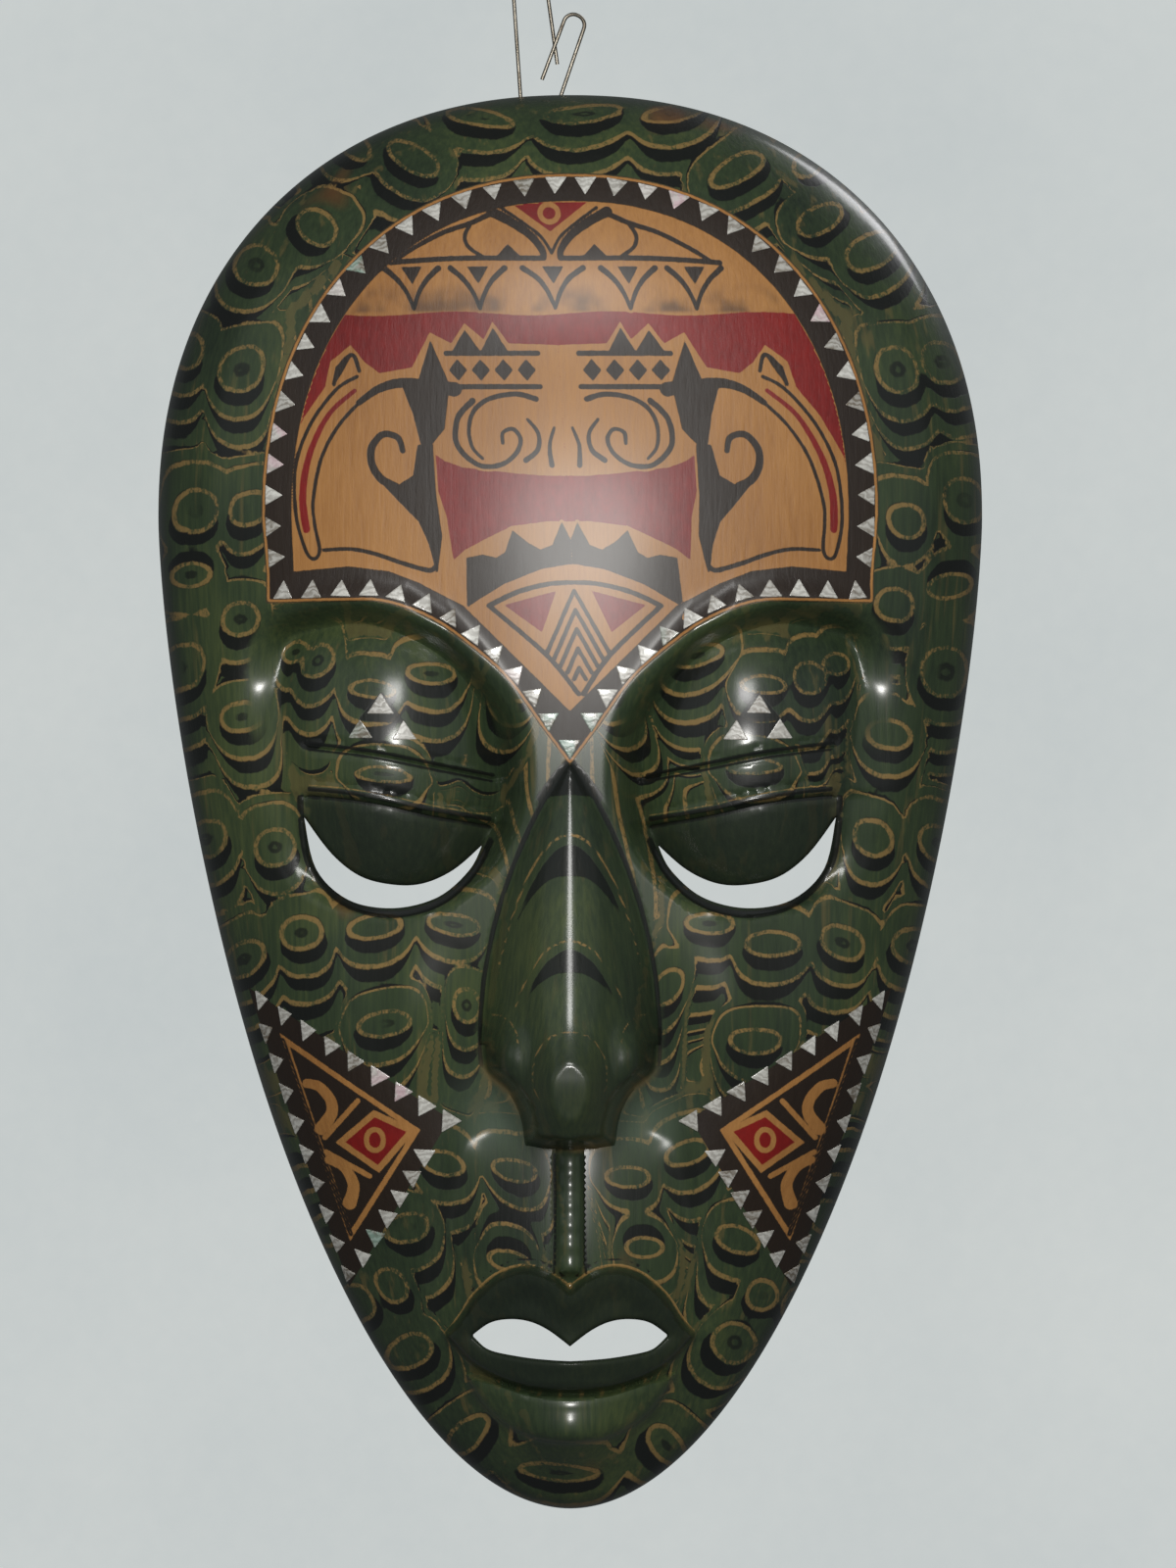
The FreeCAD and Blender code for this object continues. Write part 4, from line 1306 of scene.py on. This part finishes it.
class MASK_OT_set_shells(Operator):
    """Sets the rows of shell chips into the wood"""
    bl_idname = "mask.set_shells"
    bl_label = "Set the shells"

    def execute(self, context):
        sizes = context.scene.mask_shells
        draw = np.random.default_rng(sizes.seed)
        pattern = cut_chip(0.09)
        unit = np.array([v.co for v in pattern.data.vertices])
        polys = [tuple(p.vertices) for p in pattern.data.polygons]
        bpy.data.objects.remove(pattern)
        # the plate's corners lie on a circle: these weights turn a place on it into a mix of the three
        corners_2d = unit[:, :2]
        tips = np.array([(math.sin(t), math.cos(t)) for t in (0, 2 * math.pi / 3, 4 * math.pi / 3)])
        system = np.linalg.inv(np.vstack((tips.T, np.ones(3))))
        weights = (system @ np.vstack((corners_2d.T, np.ones(len(unit))))).T
        up = unit[:, 2] + 0.5
        rim_share = 1 - smooth(0.0, 0.12, weights.min(1))
        material = shell_material()
        for node in sorted(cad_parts):
            if "shell" not in node:
                continue
            places, faces, tints, edges = [], [], [], []
            for corners, out in chip_corners(node):
                middle = corners.mean(0)
                along = np.cross(out, corners[0] - middle)
                along /= np.linalg.norm(along)
                spin = math.radians(draw.uniform(-4, 4))
                grow = draw.uniform(0.93, 1.05)
                arms = (corners - middle) * grow
                arms = arms * math.cos(spin) + np.cross(out, arms) * math.sin(spin)
                corners = middle + arms + draw.uniform(-0.00022, 0.00022,
                                                       (3,
                                                        1)) * (arms / np.linalg.norm(arms, axis=1)[:, None])
                x, z = corners[:, 0] / KX / MM, corners[:, 2] / KZ / MM
                seat = -relief(x, z) * MM
                corners = np.column_stack((corners[:, 0], seat, corners[:, 2]))
                turn = np.cross(corners[1] - corners[0], corners[2] - corners[0])
                turn /= np.linalg.norm(turn)
                turn = turn if turn[1] < 0 else -turn
                lift = sizes.proud + 0.00012 + draw.uniform(-0.00006, 0.00006)
                plate = weights @ corners
                plate = plate + turn * (lift - 0.0011 * (1 - up))[:, None]
                start = len(places) * len(unit)
                places.append(plate)
                faces += [tuple(start + v for v in p) for p in polys]
                tints.append(np.full(len(unit), draw.random()))
                edges.append(rim_share)
            piece = make_mesh("pearl_" + node, np.vstack(places), faces,
                              {"tint": np.concatenate(tints), "edge": np.concatenate(edges)})
            select_only(piece)
            bpy.ops.object.mode_set(mode="EDIT")
            bpy.ops.mesh.select_all(action="SELECT")
            bpy.ops.mesh.normals_make_consistent(inside=False)
            bpy.ops.object.mode_set(mode="OBJECT")
            bpy.ops.object.shade_smooth_by_angle(angle=math.radians(35))
            put_material(piece, material)
            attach(piece, "mask")
            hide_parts(node)
        return {"FINISHED"}


class MASK_OT_finish_hanger(Operator):
    """Gives the screw and the wire clip their steel"""
    bl_idname = "mask.finish_hanger"
    bl_label = "Finish the hanger"

    def execute(self, context):
        put_material(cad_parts["hanger_screw"],
                     steel_material("dull_screw_steel", (150, 146, 134), (86, 82, 74), 0.38))
        put_material(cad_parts["paper_clip_hanger"],
                     steel_material("clip_wire_steel", (168, 162, 150), (96, 88, 76), 0.30))
        return {"FINISHED"}


def aim(thing, target):
    thing.rotation_euler = (Vector(target) - thing.location).to_track_quat("-Z", "Y").to_euler()


FLASH_SIZE = 0.07   # metres across the lamp beside the camera


class MASK_OT_set_stage(Operator):
    """Adds the pale backdrop, the lamps and the camera"""
    bl_idname = "mask.set_stage"
    bl_label = "Set the stage"

    def execute(self, context):
        stage = context.scene.mask_stage
        # one pale surface all round: a floor that runs up into walls and a ceiling
        bpy.ops.object.select_all(action="DESELECT")
        bpy.ops.mesh.primitive_uv_sphere_add(segments=48, ring_count=32, radius=stage.room,
                                             location=(0, 0, 0.2))
        room = context.object
        room.name = "pale_room"
        bpy.ops.object.mode_set(mode="EDIT")
        bpy.ops.mesh.flip_normals()
        bpy.ops.object.mode_set(mode="OBJECT")
        for v in room.data.vertices:
            v.co.z = max(v.co.z, -0.75)
        bpy.ops.object.shade_smooth()
        put_material(room, backdrop_material())
        room.visible_glossy = False
        room.visible_diffuse = False

        low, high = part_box("mask_body")
        middle = Vector(((low.x + high.x) / 2, 0, (low.z + high.z) / 2))
        view_middle = Vector((middle.x + 0.0044, 0, middle.z + 0.0044))
        lens = bpy.data.cameras.new("mask_camera")
        lens.sensor_fit = "VERTICAL"
        lens.sensor_height = 24.0
        lens.lens = lens.sensor_height * stage.camera_distance / stage.view_height
        camera = bpy.data.objects.new("mask_camera", lens)
        camera.location = view_middle + Vector((0, -stage.camera_distance, 0))
        camera.rotation_euler = (math.pi / 2, 0, 0)
        context.scene.collection.objects.link(camera)
        context.scene.camera = camera
        for name, where, size, power, tint in (
            ("flash", (0.015, -1.06, 0.25), FLASH_SIZE, stage.flash, (1.0, 0.985, 0.95)),
            ("top_light", (0.0, -0.95, 0.68), 0.22, stage.top, (1.0, 0.99, 0.97)),
            ("left_fill", (-1.3, -0.9, 0.75), 1.1, stage.fill, (0.93, 0.97, 1.0)),
            ("right_fill", (1.3, -0.9, 0.55), 1.1, stage.fill * 0.8, (0.93, 0.97, 1.0)),
            ("back_fill", (0.9, 0.9, 1.2), 0.6, stage.fill * 5.5, (0.98, 0.98, 1.0)),
        ):
            lamp = bpy.data.lights.new(name, "AREA")
            lamp.size = size
            lamp.energy = power
            lamp.color = tint
            light = bpy.data.objects.new(name, lamp)
            light.location = where
            aim(light, middle)
            context.scene.collection.objects.link(light)
        world = bpy.data.worlds.new("pale_room")
        world.use_nodes = True
        world.node_tree.nodes["Background"].inputs["Color"].default_value = (0.80, 0.86, 0.88, 1)
        world.node_tree.nodes["Background"].inputs["Strength"].default_value = 0.13
        context.scene.world = world
        context.scene.view_settings.view_transform = "Standard"
        return {"FINISHED"}


class MASK_PT_sidebar(Panel):
    """Lists the steps that make the mask, with the sizes and colours they use"""
    bl_idname = "MASK_PT_sidebar"
    bl_label = "Carved mask"
    bl_space_type = "VIEW_3D"
    bl_region_type = "UI"
    bl_category = "Mask"

    def draw(self, context):
        scene = context.scene
        for title, group in (("Carving", scene.mask_carving), ("Paint", scene.mask_paint),
                             ("Shells", scene.mask_shells), ("Stage", scene.mask_stage)):
            box = self.layout.box()
            box.label(text=title)
            for key in group.__annotations__:
                box.prop(group, key)
        for step in STEPS:
            self.layout.operator(step.bl_idname)


STEPS = (MASK_OT_carve_body, MASK_OT_paint_forehead, MASK_OT_paint_cheeks, MASK_OT_set_shells,
         MASK_OT_finish_hanger, MASK_OT_set_stage)
GROUPS = {"mask_carving": MaskCarving, "mask_paint": MaskPaint, "mask_shells": MaskShells,
          "mask_stage": MaskStage}


def register():
    for item in (*GROUPS.values(), *STEPS, MASK_PT_sidebar):
        bpy.utils.register_class(item)
    for key, group in GROUPS.items():
        setattr(bpy.types.Scene, key, PointerProperty(type=group))


def unregister():
    for key in GROUPS:
        delattr(bpy.types.Scene, key)
    for item in reversed((*GROUPS.values(), *STEPS, MASK_PT_sidebar)):
        bpy.utils.unregister_class(item)


def main():
    register()
    bpy.ops.object.select_all(action="DESELECT")
    for step in STEPS:
        group, name = step.bl_idname.split(".")
        getattr(getattr(bpy.ops, group), name)()


if __name__ == "__main__":
    main()
